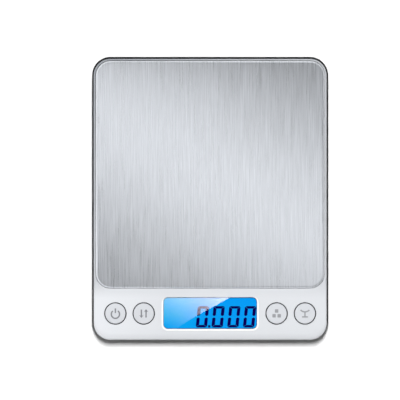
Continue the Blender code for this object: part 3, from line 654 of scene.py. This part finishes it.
def make_housing():
    base_z, edge = PARTING_Z + SEAM, 0.7
    levels = [housing_ring(0.15, 0.15, base_z), housing_ring(0.0, 0.0, base_z + 0.15)]
    for turn in angles(0, 90, 14):
        z = TOP_Z - NOSE_DROP * (1 - math.sin(turn))
        rise = max(0.0, z - (TOP_Z - edge)) / edge
        side = edge * (1 - math.sqrt(1 - min(rise, 1.0) ** 2))
        levels.append(housing_ring(side, NOSE_BACK * (1 - math.cos(turn)), z))
    housing = make("housing_silver_painted_light", ring_solid(levels), SILVER_WITH_PAINTED_LIGHT)
    rim = [(0.06, RECESS_Z), (0.06, TOP_Z - 0.1), (0.03, TOP_Z - 0.03), (-0.04, TOP_Z),
           (-0.04, TOP_Z + PAST)]
    cut(housing, [block(recess_outline, rim)])
    deck_under, panel_under = RECESS_Z - 1.2, TOP_Z - 1.8
    deck = ring_solid([housing_ring(WALL, WALL, z) for z in (base_z - PAST, deck_under)])
    front = rounded((HOUSING[0][0] + WALL, HOUSING[0][1] - WALL),
                    (HOUSING[1][0] + WALL + 0.6, PAN[1][0] - PAN_GAP - WALL), HOUSING_CORNER - WALL)
    cut(housing, [deck])
    cut(housing, [prism(front, (deck_under - PAST, panel_under))])
    posts = cylinders(CASE_SCREWS, 3.2, (8.9, deck_under + 0.5))
    posts += cylinders(BOARD_SCREWS, 2.1, (BOARD[2][1] + 0.15, panel_under + 0.5), 32)
    add(housing, posts)
    screw_z = (8.0, 13.6)
    holes = cylinders(CASE_SCREWS, 1.5, screw_z, 32) + cylinders(BOARD_SCREWS, 1.1, screw_z, 24)
    boss_z = (deck_under - PAST, RECESS_Z + PAST)
    holes += [slab((12.5, 32.0), span(PAN_Y, 7.5), 1.5, boss_z)]  # for the boss of the pan's carrier
    radius, wide = 5.0, 5.16  # of a key's hole and of its chamfer
    key_hole = [(0, HOLE_Z), (radius, HOLE_Z), (radius, TOP_Z - wide + radius), (wide, TOP_Z),
                (wide, TOP_Z + PAST), (0, TOP_Z + PAST)]
    holes += [turned(key_hole, x, KEY_Y) for x in KEYS.values()]
    lip_z = 16.0
    window, seat = window_outline(), lip_outline(-0.82)
    steps = ((window, HOLE_Z), (window, lip_z), (seat, lip_z), (seat, TOP_Z + PAST))
    holes += [ring_solid([[(px, py, z) for px, py in outline] for outline, z in steps])]
    cut(housing, holes)
    # The recess floor faces take the painted shade of the gap round the pan.
    housing.data.materials.append(RECESS_PAINTED_SHADE)
    for face in housing.data.polygons:
        if face.normal.z > 0.9 and abs(face.center.z - RECESS_Z * MM) < 1e-5:
            face.material_index = 1
    fixed(housing, ("upper_housing",))

    # The pale lip round the window: a painted highlight of its lit bevel.
    lip_levels = [(-0.8, lip_z + 0.05), (-0.8, TOP_Z - 0.05), (-0.76, TOP_Z)]
    lip = make("window_lip_painted_highlight", block(lip_outline, lip_levels), LIP_PAINTED_HIGHLIGHT)
    bevel = [(0.0, lip_z - PAST), (0.0, lip_z + 0.6), (-0.02, TOP_Z - 0.08), (-0.06, TOP_Z - 0.02),
             (-0.1, TOP_Z), (-0.1, TOP_Z + PAST)]
    cut(lip, [block(window_outline, bevel)])
    fixed(lip)


# ---- keys

def stroke(points, width):
    """A flat outline of a line of the given width, with square ends."""
    left, right = [], []
    for i, (x, y) in enumerate(points):
        x0, y0 = points[max(i - 1, 0)]
        x1, y1 = points[min(i + 1, len(points) - 1)]
        length = math.hypot(x1 - x0, y1 - y0)
        nx, ny = -(y1 - y0) / length * width / 2, (x1 - x0) / length * width / 2
        left.append((x + nx, y + ny))
        right.append((x - nx, y - ny))
    return right + left[::-1]


def pictogram(name):
    """The flat outlines of a key's pictogram, about the key's centre."""
    line = 0.62
    if name == "power":
        return [stroke(arc(0, -0.3, 1.85, 128, 412, 40), line), stroke([(0, 0.2), (0, 2.3)], line)]
    if name == "mode":  # one arrow up and one down
        marks = []
        for side in (-1, 1):
            x, tip = 1.05 * side, 2.0 * side
            wing = tip - 1.3 * side
            head = [(x - 0.95, wing), (x, tip - 0.95 * side), (x + 0.95, wing), (x, tip)]
            marks += [stroke([(x, -1.8 * side), (x, tip - 0.7 * side)], line), head[::side]]
        return marks
    if name == "pieces":  # three loose pieces
        places = ((-1.15, -1.0), (1.15, -1.0), (0.0, 1.15))
        return [rounded(span(x, 0.78), span(y, 0.78), 0.2, steps=3) for x, y in places]
    dish = arc(0, 3.5, 2.75, 224, 316, 16)  # an empty dish on a stand
    return [stroke(part, line) for part in (dish, [(0, 0.7), (0, -1.5)], [(-1.3, -1.5), (1.3, -1.5)])]


def make_keys():
    top, radius, crown, dome, cap_z = TOP_Z + 0.2, 4.6, 0.4, 0.07, 15.5
    skirt = [(0, 13.05), (2.0, 13.05), (2.0, 14.2), (5.3, 14.2), (5.3, 15.0), (4.2, 15.0), (4.2, cap_z),
             (0, cap_z)]
    cap = [(0, cap_z), (radius - 0.1, cap_z), (radius, cap_z + 0.1)]
    cap += arc(radius - crown, top - dome - crown, crown, 0, 90, 6)
    cap += [((radius - crown) * share, top - dome * share**2) for share in (0.9, 0.7, 0.4)]
    cap += [(0, top)]
    for name, x in KEYS.items():
        body = f"key_{name}"
        key = make(f"key_cap_{name}", turned(cap, x, KEY_Y, 96), CAP)
        finished(key, body, (f"button_{name}",))
        finished(make(f"key_skirt_{name}", turned(skirt, x, KEY_Y), BLACK), body)
        marks = [prism([(x + px, KEY_Y + py) for px, py in mark], (top - 0.2, top + 0.012))
                 for mark in pictogram(name)]
        icon = make(f"key_icon_{name}", marks.pop(0), FAINT_INK if name in ("pieces", "tare") else INK)
        for mark in marks:
            add(icon, [mark])
        finished(icon, body)

        low, high = place(f"switch_plunger_{name}")[2]
        stem = [(0, low), (1.7, low), (1.7, high - 0.15), (1.55, high), (0, high)]
        plunger = make(f"plunger_{name}", turned(stem, x, KEY_Y, 40), BLACK)
        finished(plunger, body, (f"switch_plunger_{name}",))
        make_switch(name, x)


def make_switch(name, x):
    """A tactile switch: a moulded body on four gull-wing legs under a plated cover."""
    low, high = place(f"tact_switch_{name}")[2]
    half, hole, join = 3.0, 2.0, high - 0.25
    body = slab(span(x, half), span(KEY_Y, half), 0.5, (low, join), 3)
    switch = make(f"switch_body_{name}", body, EPOXY)
    cut(switch, [cylinder(x, KEY_Y, hole, (10.4, high + PAST))])
    fixed(switch, (f"tact_switch_{name}",))
    plate = slab(span(x, half - 0.1), span(KEY_Y, half - 0.1), 0.4, (join, high), 3)
    lid = make(f"switch_cover_{name}", plate, NICKEL)
    cut(lid, [cylinder(x, KEY_Y, hole, (low, high + PAST))])
    fixed(lid)
    bends = [(-0.3, low + 1.1), (0.35, low + 1.1), (0.6, low), (1.2, low)]
    legs = []
    for side in (-1, 1):
        for y0, y1 in (span(KEY_Y - 2.2, 0.35), span(KEY_Y + 2.2, 0.35)):
            rings = [[(x + side * (half + out), y, z)
                      for y, z in ((y0, under), (y1, under), (y1, under + 0.2), (y0, under + 0.2))]
                     for out, under in bends]
            legs.append(ring_solid(rings))
    fixed(make(f"switch_legs_{name}", merged(legs), SOLDER))


# ---- display

def segment_shapes(width, height, line):
    """Six bars of a seven-segment nought, with mitred ends, about the digit's lower left corner. The
    line is the widths of the upright and of the level bars."""
    v, h = line
    tip = height / 2 - 0.28
    shoulder = tip - v * 0.3
    upright = [(0, 0.6), (0.25, 0.32), (v, h + 0.12), (v, shoulder), (v * 0.5, tip), (0, shoulder)]
    level = [(0.32, 0.2), (0.55, 0), (width - 0.55, 0), (width - 0.32, 0.2), (width - v + 0.06, h),
             (v - 0.06, h)]
    bars = [upright, [(width - x, y) for x, y in upright], level]
    return bars + [[(x, height - y) for x, y in bar] for bar in bars]


def boxed(name, node, edge, surface):
    """A block with rounded edges in a CAD node's place."""
    fixed(make(name, soft_box(*place(node), edge), surface), (node,))


def make_display():
    under, top = place("display_window")[2]
    flange = rounded(*place("display_window")[:2], 1.0, steps=6)
    lens = make("display_lens", prism(flange, (under, TOP_Z - 2.0)), CLEAR)
    add(lens, [block(window_outline, [(0.15, under + 0.5), (0.15, top - 0.08), (0.22, top)])])
    fixed(lens, ("display_window",))
    glass_top = LCD[2][1] - 0.2
    print_z = glass_top + 0.02
    panel = soft_box(LCD[0], LCD[1], (LCD[2][0], glass_top), 0.08)
    fixed(make("lcd_panel", panel, LCD_GLOW), ("lcd_glass",))

    edge = prism(rounded(LCD[0], LCD[1], 0.6, 0.1, 4), (print_z, glass_top + 0.14))
    border = make("lcd_border_and_painted_shade", edge, BORDER_AND_PAINTED_SHADE)
    # Where the border shows in the window, all round and widest along the back, it is painted shade of
    # the window's walls.
    clear_y = (WINDOW_Y - WINDOW_HALF[1] + 0.25, WINDOW_Y + WINDOW_HALF[1] - 0.45)
    cut(border, [slab(span(0, 20.8), clear_y, 1.8, span(glass_top, PAST), 8)])
    fixed(border)

    width, height, pitch, slant = 5.1, 9.55, 7.06, math.tan(math.radians(6.0))
    left, bottom, dot = -6.53, WINDOW_Y - 6.5, 1.0
    shapes = [
        [(left + i * pitch + px + py * slant, bottom + py) for px, py in bar]
        for i in range(4) for bar in segment_shapes(width, height, (1.45, 1.12))
    ]
    x = left + width + 0.5
    shapes.append([(x, bottom), (x + dot, bottom), (x + dot, bottom + dot), (x, bottom + dot)])
    bars = [prism(shape, (print_z, glass_top + 0.1)) for shape in shapes]
    fixed(make("lcd_digits", merged(bars), SEGMENT))

    x, y, z = place("lcd_holder")
    holder = make("lcd_frame", soft_box(x, y, z, 0.25), WHITE)
    cut(holder, [box(span(0, LCD[0][1] + 0.2), (LCD[1][0] - 0.15, LCD[1][1] + 0.15), past(z))])
    fixed(holder, ("lcd_holder",))
    boxed("light_guide_plate", "backlight_guide", 0.15, GUIDE)
    boxed("zebra_strip", "zebra_connector", 0.2, zebra_rubber())


# ---- circuit board

def make_board():
    x, y, z = BOARD
    board = make("circuit_board", slab(x, y, 5.0, z, QUARTER), BOARD_GREEN)
    cut(board, cylinders(BOARD_SCREWS, 1.2, past(z), 32))
    fixed(board, ("main_pcb",))

    under, radius = z[0] - 0.1, 5.2
    dome = [(radius * math.sin(a), under - 0.15 - 0.85 * math.cos(a)) for a in angles(12, 84, 6)]
    dome = [(0, under - 1.0), *dome, (radius, under), (0, under)]
    blob = turned(dome, *middle("controller_chip")[:2])
    fixed(make("controller_blob", blob, EPOXY), ("controller_chip",))
    boxed("converter_package", "converter_chip", 0.15, EPOXY)

    cx, cy = middle("converter_chip")[:2]
    pin_y = [cy - 4.2 + 1.2 * i for i in range(8)]
    resistor_x = [2.5 + 3.3 * i for i in range(9)]

    def chip_part(x, y, half_x, half_y, depth, gap):
        return soft_box(span(x, half_x), span(y, half_y), (under - depth, under - gap), 0.05)

    pins = [chip_part(cx + side * 2.5, y, 0.5, 0.2, 0.3, 0.05) for side in (-1, 1) for y in pin_y]
    caps, bodies = [], []
    for x in resistor_x:
        for y in (-46.2, -56.6):
            bodies.append(chip_part(x, y, 0.6, 0.4, 0.5, 0.03))
            caps += [chip_part(x + side * 0.8, y, 0.2, 0.42, 0.52, 0.02) for side in (-1, 1)]
    fixed(make("chip_pins", merged(pins + caps), SOLDER))
    fixed(make("chip_resistors", merged(bodies), EPOXY))

    tracks = []
    for i, y in enumerate(pin_y):
        x = cx - 10.0 - 1.4 * i
        tracks.append(stroke([(cx - 3.0, y), (x, y), (x - 3.0, y + (1.2 if i > 3 else -1.2))], 0.3))
    tracks += [stroke([(x, -47.4), (x, -55.4)], 0.35) for x in resistor_x]
    tracks = [prism(track, (z[0] - 0.04, z[0])) for track in tracks]
    fixed(make("board_tracks", merged(tracks), TRACE_GREEN))


# ---- load cell

def bending(piece, replaces):
    """Smooths a piece of the load cell, hides the CAD nodes that it stands for and bakes its place into
    its mesh.
    """
    smoothed(piece, replaces, 32.0)
    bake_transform(piece)


def make_load_cell():
    x, y, z = BEAM
    mid_z, bore, bore_x = sum(z) / 2, 2.7, 7.0
    beam = make("load_cell_block", soft_box(x, y, z, 0.25), ALUMINIUM)
    cut(beam, [moved(laid_along(cylinder(0, 0, bore, (-9, 9)), "Y"), side * bore_x, PAN_Y, mid_z)
               for side in (-1, 1)])
    cut(beam, [box(span(0, bore_x), span(PAN_Y, 9), span(mid_z, 1.0))])
    cut(beam, cylinders([(x, PAN_Y) for x in (-26, -18, 18, 26)], 1.4, past(z), 32))
    bending(beam, ("load_cell_beam",))

    def pad(inset):
        return rounded(span(0, 6.5), span(PAN_Y, 4.5), 2.0, inset, 6)

    heights = ((0.0, 0.0), (0.0, 0.3), (0.08, 0.5), (0.3, 0.65), (0.8, 0.75), (1.5, 0.8))
    for side, face, lift in (("top", z[1] + 0.05, 1), ("under", z[0] - 0.05, -1)):
        levels = [(inset, face + lift * height) for inset, height in heights]
        seal = make(f"gauge_seal_{side}", block(pad, levels[::lift]), SILICONE)
        bending(seal, (f"strain_gauge_cover_{side}",))


# ---- wires

def make_wires():
    cable = [(-7.3, PAN_Y, 12.8), (-10.0, 7.6, 12.95), (-12.0, 3.2, 12.7), (-14.5, -2.0, 8.5),
             (-18.5, -12.0, 4.3), (-24.0, -25.0, 4.2), (-28.5, -34.5, 6.6), (-29.6, -40.0, 9.4),
             (-29.6, -43.2, 9.5)]
    red = [(28.5, CELL_Y["back"], 11.1), (31.5, 43.0, 10.6), (34.0, 34.0, 7.0), (34.4, 18.0, 4.2),
           (34.6, 0.0, 4.0), (34.4, -18.0, 4.2), (32.4, -31.0, 6.4), (31.0, -39.0, 9.2),
           (30.9, -43.2, 9.4)]
    black = [(28.5, CELL_Y["front"], 11.1), (31.0, 31.0, 10.2), (32.4, 25.0, 6.5), (32.8, 15.0, 4.2),
             (33.0, 0.0, 4.0), (32.8, -18.0, 4.2), (30.6, -31.0, 6.4), (29.4, -39.0, 9.2),
             (29.3, -43.2, 9.4)]
    for name, route, radius, surface, slot, node in (
        ("cell_wire", cable, 0.6, GREY, "grey_cable", "load_cell_cable"),
        ("red_wire", red, 0.5, RED, "red_wire", "battery_lead_red"),
        ("black_wire", black, 0.5, DARK, "black_wire", "battery_lead_black"),
    ):
        fixed(make(name, pipe(smooth_path(route, 8), radius), surface), (node,), 60.0)


# ---- battery bay

def make_cells():
    """Two AAA cells: a plated can, a foil jacket and a seal round the nub."""
    radius, length, nub = CELL_RADIUS, 44.5, 0.8
    body = length - nub
    can = [(0, 0), (3.2, 0), (3.4, 0.12), (3.9, 0.12), (4.1, 0), (4.7, 0), (5.0, 0.2), (5.05, 0.5),
           (5.05, body - 0.5), (4.9, body - 0.2), (4.6, body - 0.1), (3.3, body - 0.1), (3.1, body),
           (2.0, body), (1.9, body + 0.15), (1.9, length - 0.15), (1.75, length), (0, length)]
    jacket = [(5.09, 0.35), (radius - 0.04, 0.35), (radius, 0.45), (radius, body - 0.4),
              (radius - 0.06, body - 0.3), (5.09, body - 0.3)]
    seal = [(2.1, body + 0.02), (3.0, body + 0.02), (3.0, body + 0.12), (2.1, body + 0.12)]
    for name, direction in CELL_ENDS:
        centre = middle(f"battery_{name}")
        foil = cell_jacket(f"cell_foil_{name}", direction)
        for part, bm, surface, slot, replaces in (
            ("can", turned(can), NICKEL, "nickel", ()),
            ("jacket", hoop(jacket), foil, "cell_jacket", (f"battery_{name}",)),
            ("seal", hoop(seal), WHITE, "white_plastic", ()),
        ):
            moved(bm, 0, 0, -length / 2)
            laid_along(bm, "X")
            if direction < 0:
                bm.transform(Matrix.Rotation(math.pi, 4, "Z"))
            piece = make(f"cell_{part}_{name}", moved(bm, *centre), surface)
            fixed(piece, replaces)


def make_springs():
    """Two conical springs, whose end coils lie flat."""
    turns, per_turn, wide, narrow, wire = 3, 36, 3.6, 1.9, 0.3
    count = turns * per_turn
    for name, direction in CELL_ENDS:
        x = place(f"battery_spring_{name}")[0]
        wall = x[1] - wire if direction < 0 else x[0] + wire
        length = x[1] - x[0] - 2 * wire
        path = []
        for i in range(count + 1):
            share = i / count
            eased = share * share * (3 - 2 * share)
            angle = 2 * math.pi * turns * share
            radius = wide + (narrow - wide) * share
            path.append((wall + direction * length * eased, CELL_Y[name] + radius * math.cos(angle),
                         CELL_Z + radius * math.sin(angle)))
        spring = make(f"spring_{name}", pipe(path, wire, 12), NICKEL)
        fixed(spring, (f"battery_spring_{name}",), 60.0)


# ---- lower casing

def make_lower_casing():
    draft, fillet = 0.9, 3.6
    outer = rounded_edge(draft, BASE_Z, fillet, top=False, steps=12)
    outer += [(0.0, PARTING_Z - 0.2), (0.12, PARTING_Z)]
    shell = make("casing_black", block(lower_outline, outer), BLACK)
    inner = rounded_edge(2.7, 2.6, 2.2, top=False)
    cut(shell, [block(lower_outline, inner + [(1.9, PARTING_Z + PAST)])])
    wall, below = 1.2, BASE_Z - 0.5
    inside = 1.8  # additions start inside the floor
    posts = cylinders(CASE_SCREWS, 4.2, (inside, 8.6))
    bay = box(*((low - wall, high + wall) for low, high in BAY[:2]), (inside, 14.0))
    pedestal = box((-31.0, -13.5), span(PAN_Y, 7.0), (inside, 4.0))
    pad = box(span(0, 9.0), (BAY[1][0] - 9.0, BAY[1][0] - 1.6), (inside, 3.4))
    add(shell, [bay, pedestal, pad, cylinder(STOP_SCREW[0], PAN_Y, 3.0, (inside, 3.6)), *posts])
    cut(shell, [box(BAY[0], BAY[1], (below, BAY[2][1]))])
    seat_x = (DOOR[0][0] - DOOR_SEAT, DOOR[0][1] + DOOR_SEAT)
    seat_y = (BAY[1][0] - 1.1, BAY[1][1] + 1.1)
    cut(shell, [slab(seat_x, seat_y, 1.0, (below, DOOR_TOP + 0.15))])
    slots = [box(span(x, 2.6), (BAY[1][1] - 0.5, BAY[1][1] + 3.2), (DOOR_TOP, 4.7)) for x in HOOK_X]
    lead_x = (BAY[0][1] - 0.3, BAY[0][1] + 1.5)
    leads = [box(lead_x, span(y, 1.4), (10.5, 11.7)) for y in CELL_Y.values()]
    cut(shell, slots + leads)
    wells = []
    for screws, radius, bevel_z, depth in ((CASE_SCREWS, 2.9, 1.4, 4.0), (BASE_SCREWS, 3.1, 1.2, 2.8)):
        well = [(0, below), (3.3, below), (3.3, BASE_Z), (radius, bevel_z), (radius, depth), (0, depth)]
        wells += [turned(well, *screw[:2]) for screw in screws]
    cut(shell, wells)
    holes = cylinders(CASE_SCREWS, 1.6, (3.5, 9.5), 32) + cylinders(BASE_SCREWS, 1.4, (2.3, 5.5), 32)
    holes += cylinders([(STOP_SCREW[0], PAN_Y)], 1.65, (below, 4.5), 32)
    holes += cylinders([middle(f"foot_{name}") for name in FEET], 5.2, (below, 1.8), 64)
    cut(shell, holes)
    hollow = [(7.2 * math.sin(a), 0.2 + 0.75 * math.cos(a)) for a in angles(80, 10, 7)]
    notch = turned([(0, -0.6), (7.6, -0.6), *hollow, (0, 0.95)])
    notch.transform(Matrix.Diagonal((1.0, 0.55, 1.0, 1.0)))  # an oval, for a thumb
    label = slab((-27.0, 27.0), (-30.0, -8.0), 1.5, (below, BASE_Z + 0.3))
    cut(shell, [moved(notch, 0, BAY[1][0] - 4.6, BASE_Z), label])
    rib_y = span(sum(CELL_Y.values()) / 2, 0.25)
    add(shell, [box((-22.0, 22.0), rib_y, (9.0, BAY[2][1] + 0.3))])
    fixed(shell, ("lower_shell",))
    foil = slab((-26.6, 26.6), (-29.6, -8.4), 1.3, (BASE_Z + 0.1, BASE_Z + 0.28))
    fixed(make("blank_label", foil, LABEL))


def make_feet():
    side = [(4.2 + 0.8 * math.sin(a), 0.6 - 0.6 * math.cos(a)) for a in angles(18, 90, 4)]
    profile = [(0, 0.12), (2.4, 0.12), (2.6, 0.0), (4.2, 0.0), *side, (5.0, 1.65), (0, 1.65)]
    for name in FEET:
        foot = make(f"rubber_foot_{name}", turned(profile, *middle(f"foot_{name}")[:2]), RUBBER)
        fixed(foot, (f"foot_{name}",))


def make_door():
    def plate(inset):
        return rounded(DOOR[0], (27.2, 51.2), 0.8, inset, 6)

    edge = [(0.15, BASE_Z), (0.0, BASE_Z + 0.15), (0.0, DOOR_TOP)]
    door = make("door_black", block(plate, edge), BLACK)
    inside, hook_top = DOOR_TOP - 0.3, 3.8  # additions start inside the plate
    arms = [box(span(x, 2.0), (49.0, 50.3), (inside, hook_top)) for x in HOOK_X]
    latch = box(span(0, 4.0), (28.3, 29.2), (inside, 3.6))
    ribs = [box(span(x, 0.4), (30.5, 48.0), (inside, DOOR_TOP + 0.2)) for x in (-20, -10, 10, 20)]
    add(door, [*arms, latch, *ribs])
    add(door, [box(span(x, 2.0), (49.8, 52.6), (2.9, hook_top)) for x in HOOK_X])
    cut(door, [box(span(x, 0.4), (26.2, 33.2), (0.0, 4.0)) for x in (-5.2, 5.2)])
    groove_y = (36.0, 37.6, 39.2, 40.8, 42.4)
    grooves = [slab((-7.0, 7.0), span(y, 0.4), 0.39, (0.5, 1.35), 5) for y in groove_y]
    cut(door, [*grooves, prism([(-2.2, 46.8), (0.0, 45.0), (2.2, 46.8)], (0.5, 1.25))])
    finished(door, "door", ("battery_door",))


# ---- screws

def screw_piece(node, body, head, shank, facing=-1):
    """A cross-recessed screw in a CAD screw's place. Its head, (radius, height), faces down or up."""
    x, y, z = place(node)
    length, (radius, height) = z[1] - z[0], head
    profile = [(0, 0), (radius * 0.6, 0.0), (radius * 0.85, height * 0.1), (radius, height * 0.4),
               (radius, height * 0.95), (radius * 0.97, height), (shank, height)]
    pitch, start = 0.6, height + 0.5
    for i in range(int((length - start - 0.7) / pitch)):
        at = start + i * pitch
        profile += [(shank * 0.8, at), (shank, at + pitch * 0.45), (shank, at + pitch * 0.55)]
    profile += [(shank * 0.8, length - 0.6), (shank * 0.55, length), (0, length)]
    bm = turned(profile, segments=40)
    made = make(node.replace("screw", "cross_screw"), bm, ZINC)
    arm, half = radius * 0.55, radius * 0.15
    plus, corner = [], [(arm, half), (half, half), (half, arm)]
    for _ in range(4):
        plus += corner
        corner = [(-py, px) for px, py in corner]
    depths = ((1.3, -0.5), (1.0, 0.0), (0.6, height * 0.55))
    cut(made, [ring_solid([[(px * size, py * size, at) for px, py in plus] for size, at in depths])])
    turn, head_z = (math.pi, z[1]) if facing > 0 else (0.0, z[0])
    centre = Matrix.Translation(Vector((sum(x) / 2, sum(y) / 2, head_z)) * MM)
    made.data.transform(centre @ Matrix.Rotation(turn, 4, "X"))
    finished(made, body, (node,))


def make_screws():
    for i in (1, 2, 3, 4):
        screw_piece(f"case_screw_{i}", "base", (2.6, 1.7), 1.3)
    for i in (1, 2, 3):
        screw_piece(f"pcb_screw_{i}", "base", (1.9, 1.0), 0.9)
    for i in (1, 2):
        screw_piece(f"load_cell_base_screw_{i}", "base", (2.75, 1.5), 1.2)
        screw_piece(f"platform_screw_{i}", "platform", (2.75, 1.5), 1.2, facing=1)
    screw_piece("overload_stop_screw", "base", (1.5, 0.8), 1.42)


# ---- CAD nodes kept as they are

KEPT_NODES = {
    "platform_carrier": BLACK, "pan_adhesive_sheet": FOAM,
    "load_cell_base_spacer": ZINC, "load_cell_platform_spacer": ZINC, "backlight_led": WHITE,
    **{f"battery_contact_{name}": NICKEL for name in ("bridge", "negative", "positive")},
}


def dress_kept_nodes():
    for name, surface in KEPT_NODES.items():
        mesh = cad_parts[name].data
        mesh.materials.clear()
        mesh.materials.append(surface)


# ---- stage, light and camera

CAMERA_AT = (-4.56, -0.79, 2018.0)
CARD_Z = 280.0  # of the card that the pan reflects
GLARE_Z = 1500.0  # of the card that the window reflects


def sheet(xs, ys, z, hole=None):
    """A flat grid of faces between the given lines, with one face left out."""
    bm = bmesh.new()
    grid = [[bm.verts.new(Vector((x, y, z)) * MM) for x in xs] for y in ys]
    for j in range(len(ys) - 1):
        for i in range(len(xs) - 1):
            if (i, j) != hole:
                bm.faces.new((grid[j][i], grid[j][i + 1], grid[j + 1][i + 1], grid[j + 1][i]))
    return bm


def emitter(name, bm, light):
    """A card of light that only reflections see, part of the studio and not of the object."""
    card = make(name, bm, light)
    card.visible_camera = False
    card.visible_shadow = False
    card.visible_diffuse = False


def emission(name, colour, build):
    """An emission material whose strength is the output of build(tree)."""
    made = bpy.data.materials.new(name)
    made.use_nodes = True
    tree = made.node_tree
    tree.nodes.clear()
    out = new_node(tree, "OutputMaterial")
    light = new_node(tree, "Emission")
    light.inputs["Color"].default_value = (*colour, 1.0)
    tree.links.new(build(tree), light.inputs["Strength"])
    tree.links.new(light.outputs["Emission"], out.inputs["Surface"])
    return made


def band_strength(tree):
    """A soft diagonal band of light, which the pan reflects as a sheen from corner to corner."""
    grow = 1.0 + (CARD_Z - PAN_TOP) / (CAMERA_AT[2] - PAN_TOP)
    centre, width, peak, base = 0.010 * grow, 0.0395, 1.63, 0.215
    across = along(tree, (0.48, 0.877, 0.0))
    offset = math_node(tree, "DIVIDE", math_node(tree, "SUBTRACT", across, centre), width)
    bell = math_node(tree, "EXPONENT", product(tree, offset, offset, -1.0))
    band = math_node(tree, "MULTIPLY_ADD", bell, peak, base)
    from_strip = math_node(tree, "ABSOLUTE", math_node(tree, "SUBTRACT", along(tree, BACK), 0.086))
    return product(tree, band, remap(tree, from_strip, 0.3, 1.0, (0.009, 0.015)))


def glare_strength(tree):
    """Brighter towards the back right corner of the card."""
    share = math_node(tree, "MULTIPLY_ADD", along(tree, (0.431, 0.902, 0.0)), 19.2, 2.03)
    return product(tree, math_node(tree, "POWER", math_node(tree, "MAXIMUM", share, 0.0), 1.8), 14.1)


def area(name, location, size, power):
    data = bpy.data.lights.new(name, "AREA")
    data.shape = "RECTANGLE"
    data.size, data.size_y = size[0] * MM, size[1] * MM
    data.energy = power
    lamp = linked(name, data)
    lamp.location = Vector(location) * MM
    lamp.rotation_euler = (-Vector(location)).to_track_quat("-Z", "Y").to_euler()
    lamp.visible_glossy = False
    lamp.visible_transmission = False


def make_studio():
    scene = bpy.context.scene
    scene.view_settings.view_transform = "Standard"
    reach = (-3000, 3000)
    make("floor", sheet(reach, reach, 0.0), shader("paper", (0.9, 0.9, 0.9), 0.7))

    world = bpy.data.worlds.new("studio")
    scene.world = world
    world.use_nodes = True
    tree = world.node_tree
    direction = new_node(tree, "TexCoord")
    split = new_node(tree, "SeparateXYZ")
    tree.links.new(direction.outputs["Generated"], split.inputs["Vector"])
    low = remap(tree, split.outputs["Z"], 1.2, 0.0, (0.65, 0.98))  # dark overhead
    left = remap(tree, split.outputs["X"], 1.35, 0.65, (-0.7, 0.7))  # brighter at the left
    rear = remap(tree, split.outputs["Y"], 0.85, 0.95, (-0.6, 0.0))  # a little duller in front
    tree.links.new(product(tree, low, left, rear), tree.nodes["Background"].inputs["Strength"])
    tree.nodes["Background"].inputs["Color"].default_value = (0.96, 0.98, 1.0, 1.0)
    world.cycles_visibility.diffuse = False

    area("key_light", (0, 215, 1500), (60, 250), 27.0)
    area("fill_light", (0, -100, 1300), (1400, 1400), 3.0)

    card = sheet((-170, -26, 26, 170), (-150, -68, -49, 190), CARD_Z, hole=(1, 1))
    emitter("band_card", card, emission("band_light", (0.97, 0.985, 1.0), band_strength))
    grow = (GLARE_Z - WINDOW_Z) / (CAMERA_AT[2] - WINDOW_Z)

    def seen_at(x, y):
        """Where the card meets the ray that the camera sees reflected at a point of the window."""
        return (x + (x - CAMERA_AT[0]) * grow, y + (y - CAMERA_AT[1]) * grow)

    reflection = [(-18.5, -60.6), (-9.7, -54.95), (1.9, -48.4), (9.8, -44.0), (9.8, -42.5),
                  (-23.0, -42.5), (-23.0, -60.6)]
    bm = bmesh.new()
    bm.faces.new([bm.verts.new(Vector((*seen_at(x, y), GLARE_Z)) * MM) for x, y in reflection])
    emitter("glare_card", bm, emission("glare_light", (0.98, 0.81, 0.72), glare_strength))


def make_camera():
    data = bpy.data.cameras.new("camera")
    sensor, distance, field = 36.0, 2000.0, 179.3  # the field is the picture's width at that distance
    data.sensor_width = sensor
    data.lens = sensor * distance / field
    data.clip_end = 20.0
    camera = linked("camera", data)
    camera.location = Vector(CAMERA_AT) * MM
    bpy.context.scene.camera = camera


make_pan()
make_housing()
make_keys()
make_display()
make_board()
make_load_cell()
make_wires()
make_cells()
make_springs()
make_lower_casing()
make_feet()
make_door()
make_screws()
dress_kept_nodes()
make_studio()
make_camera()
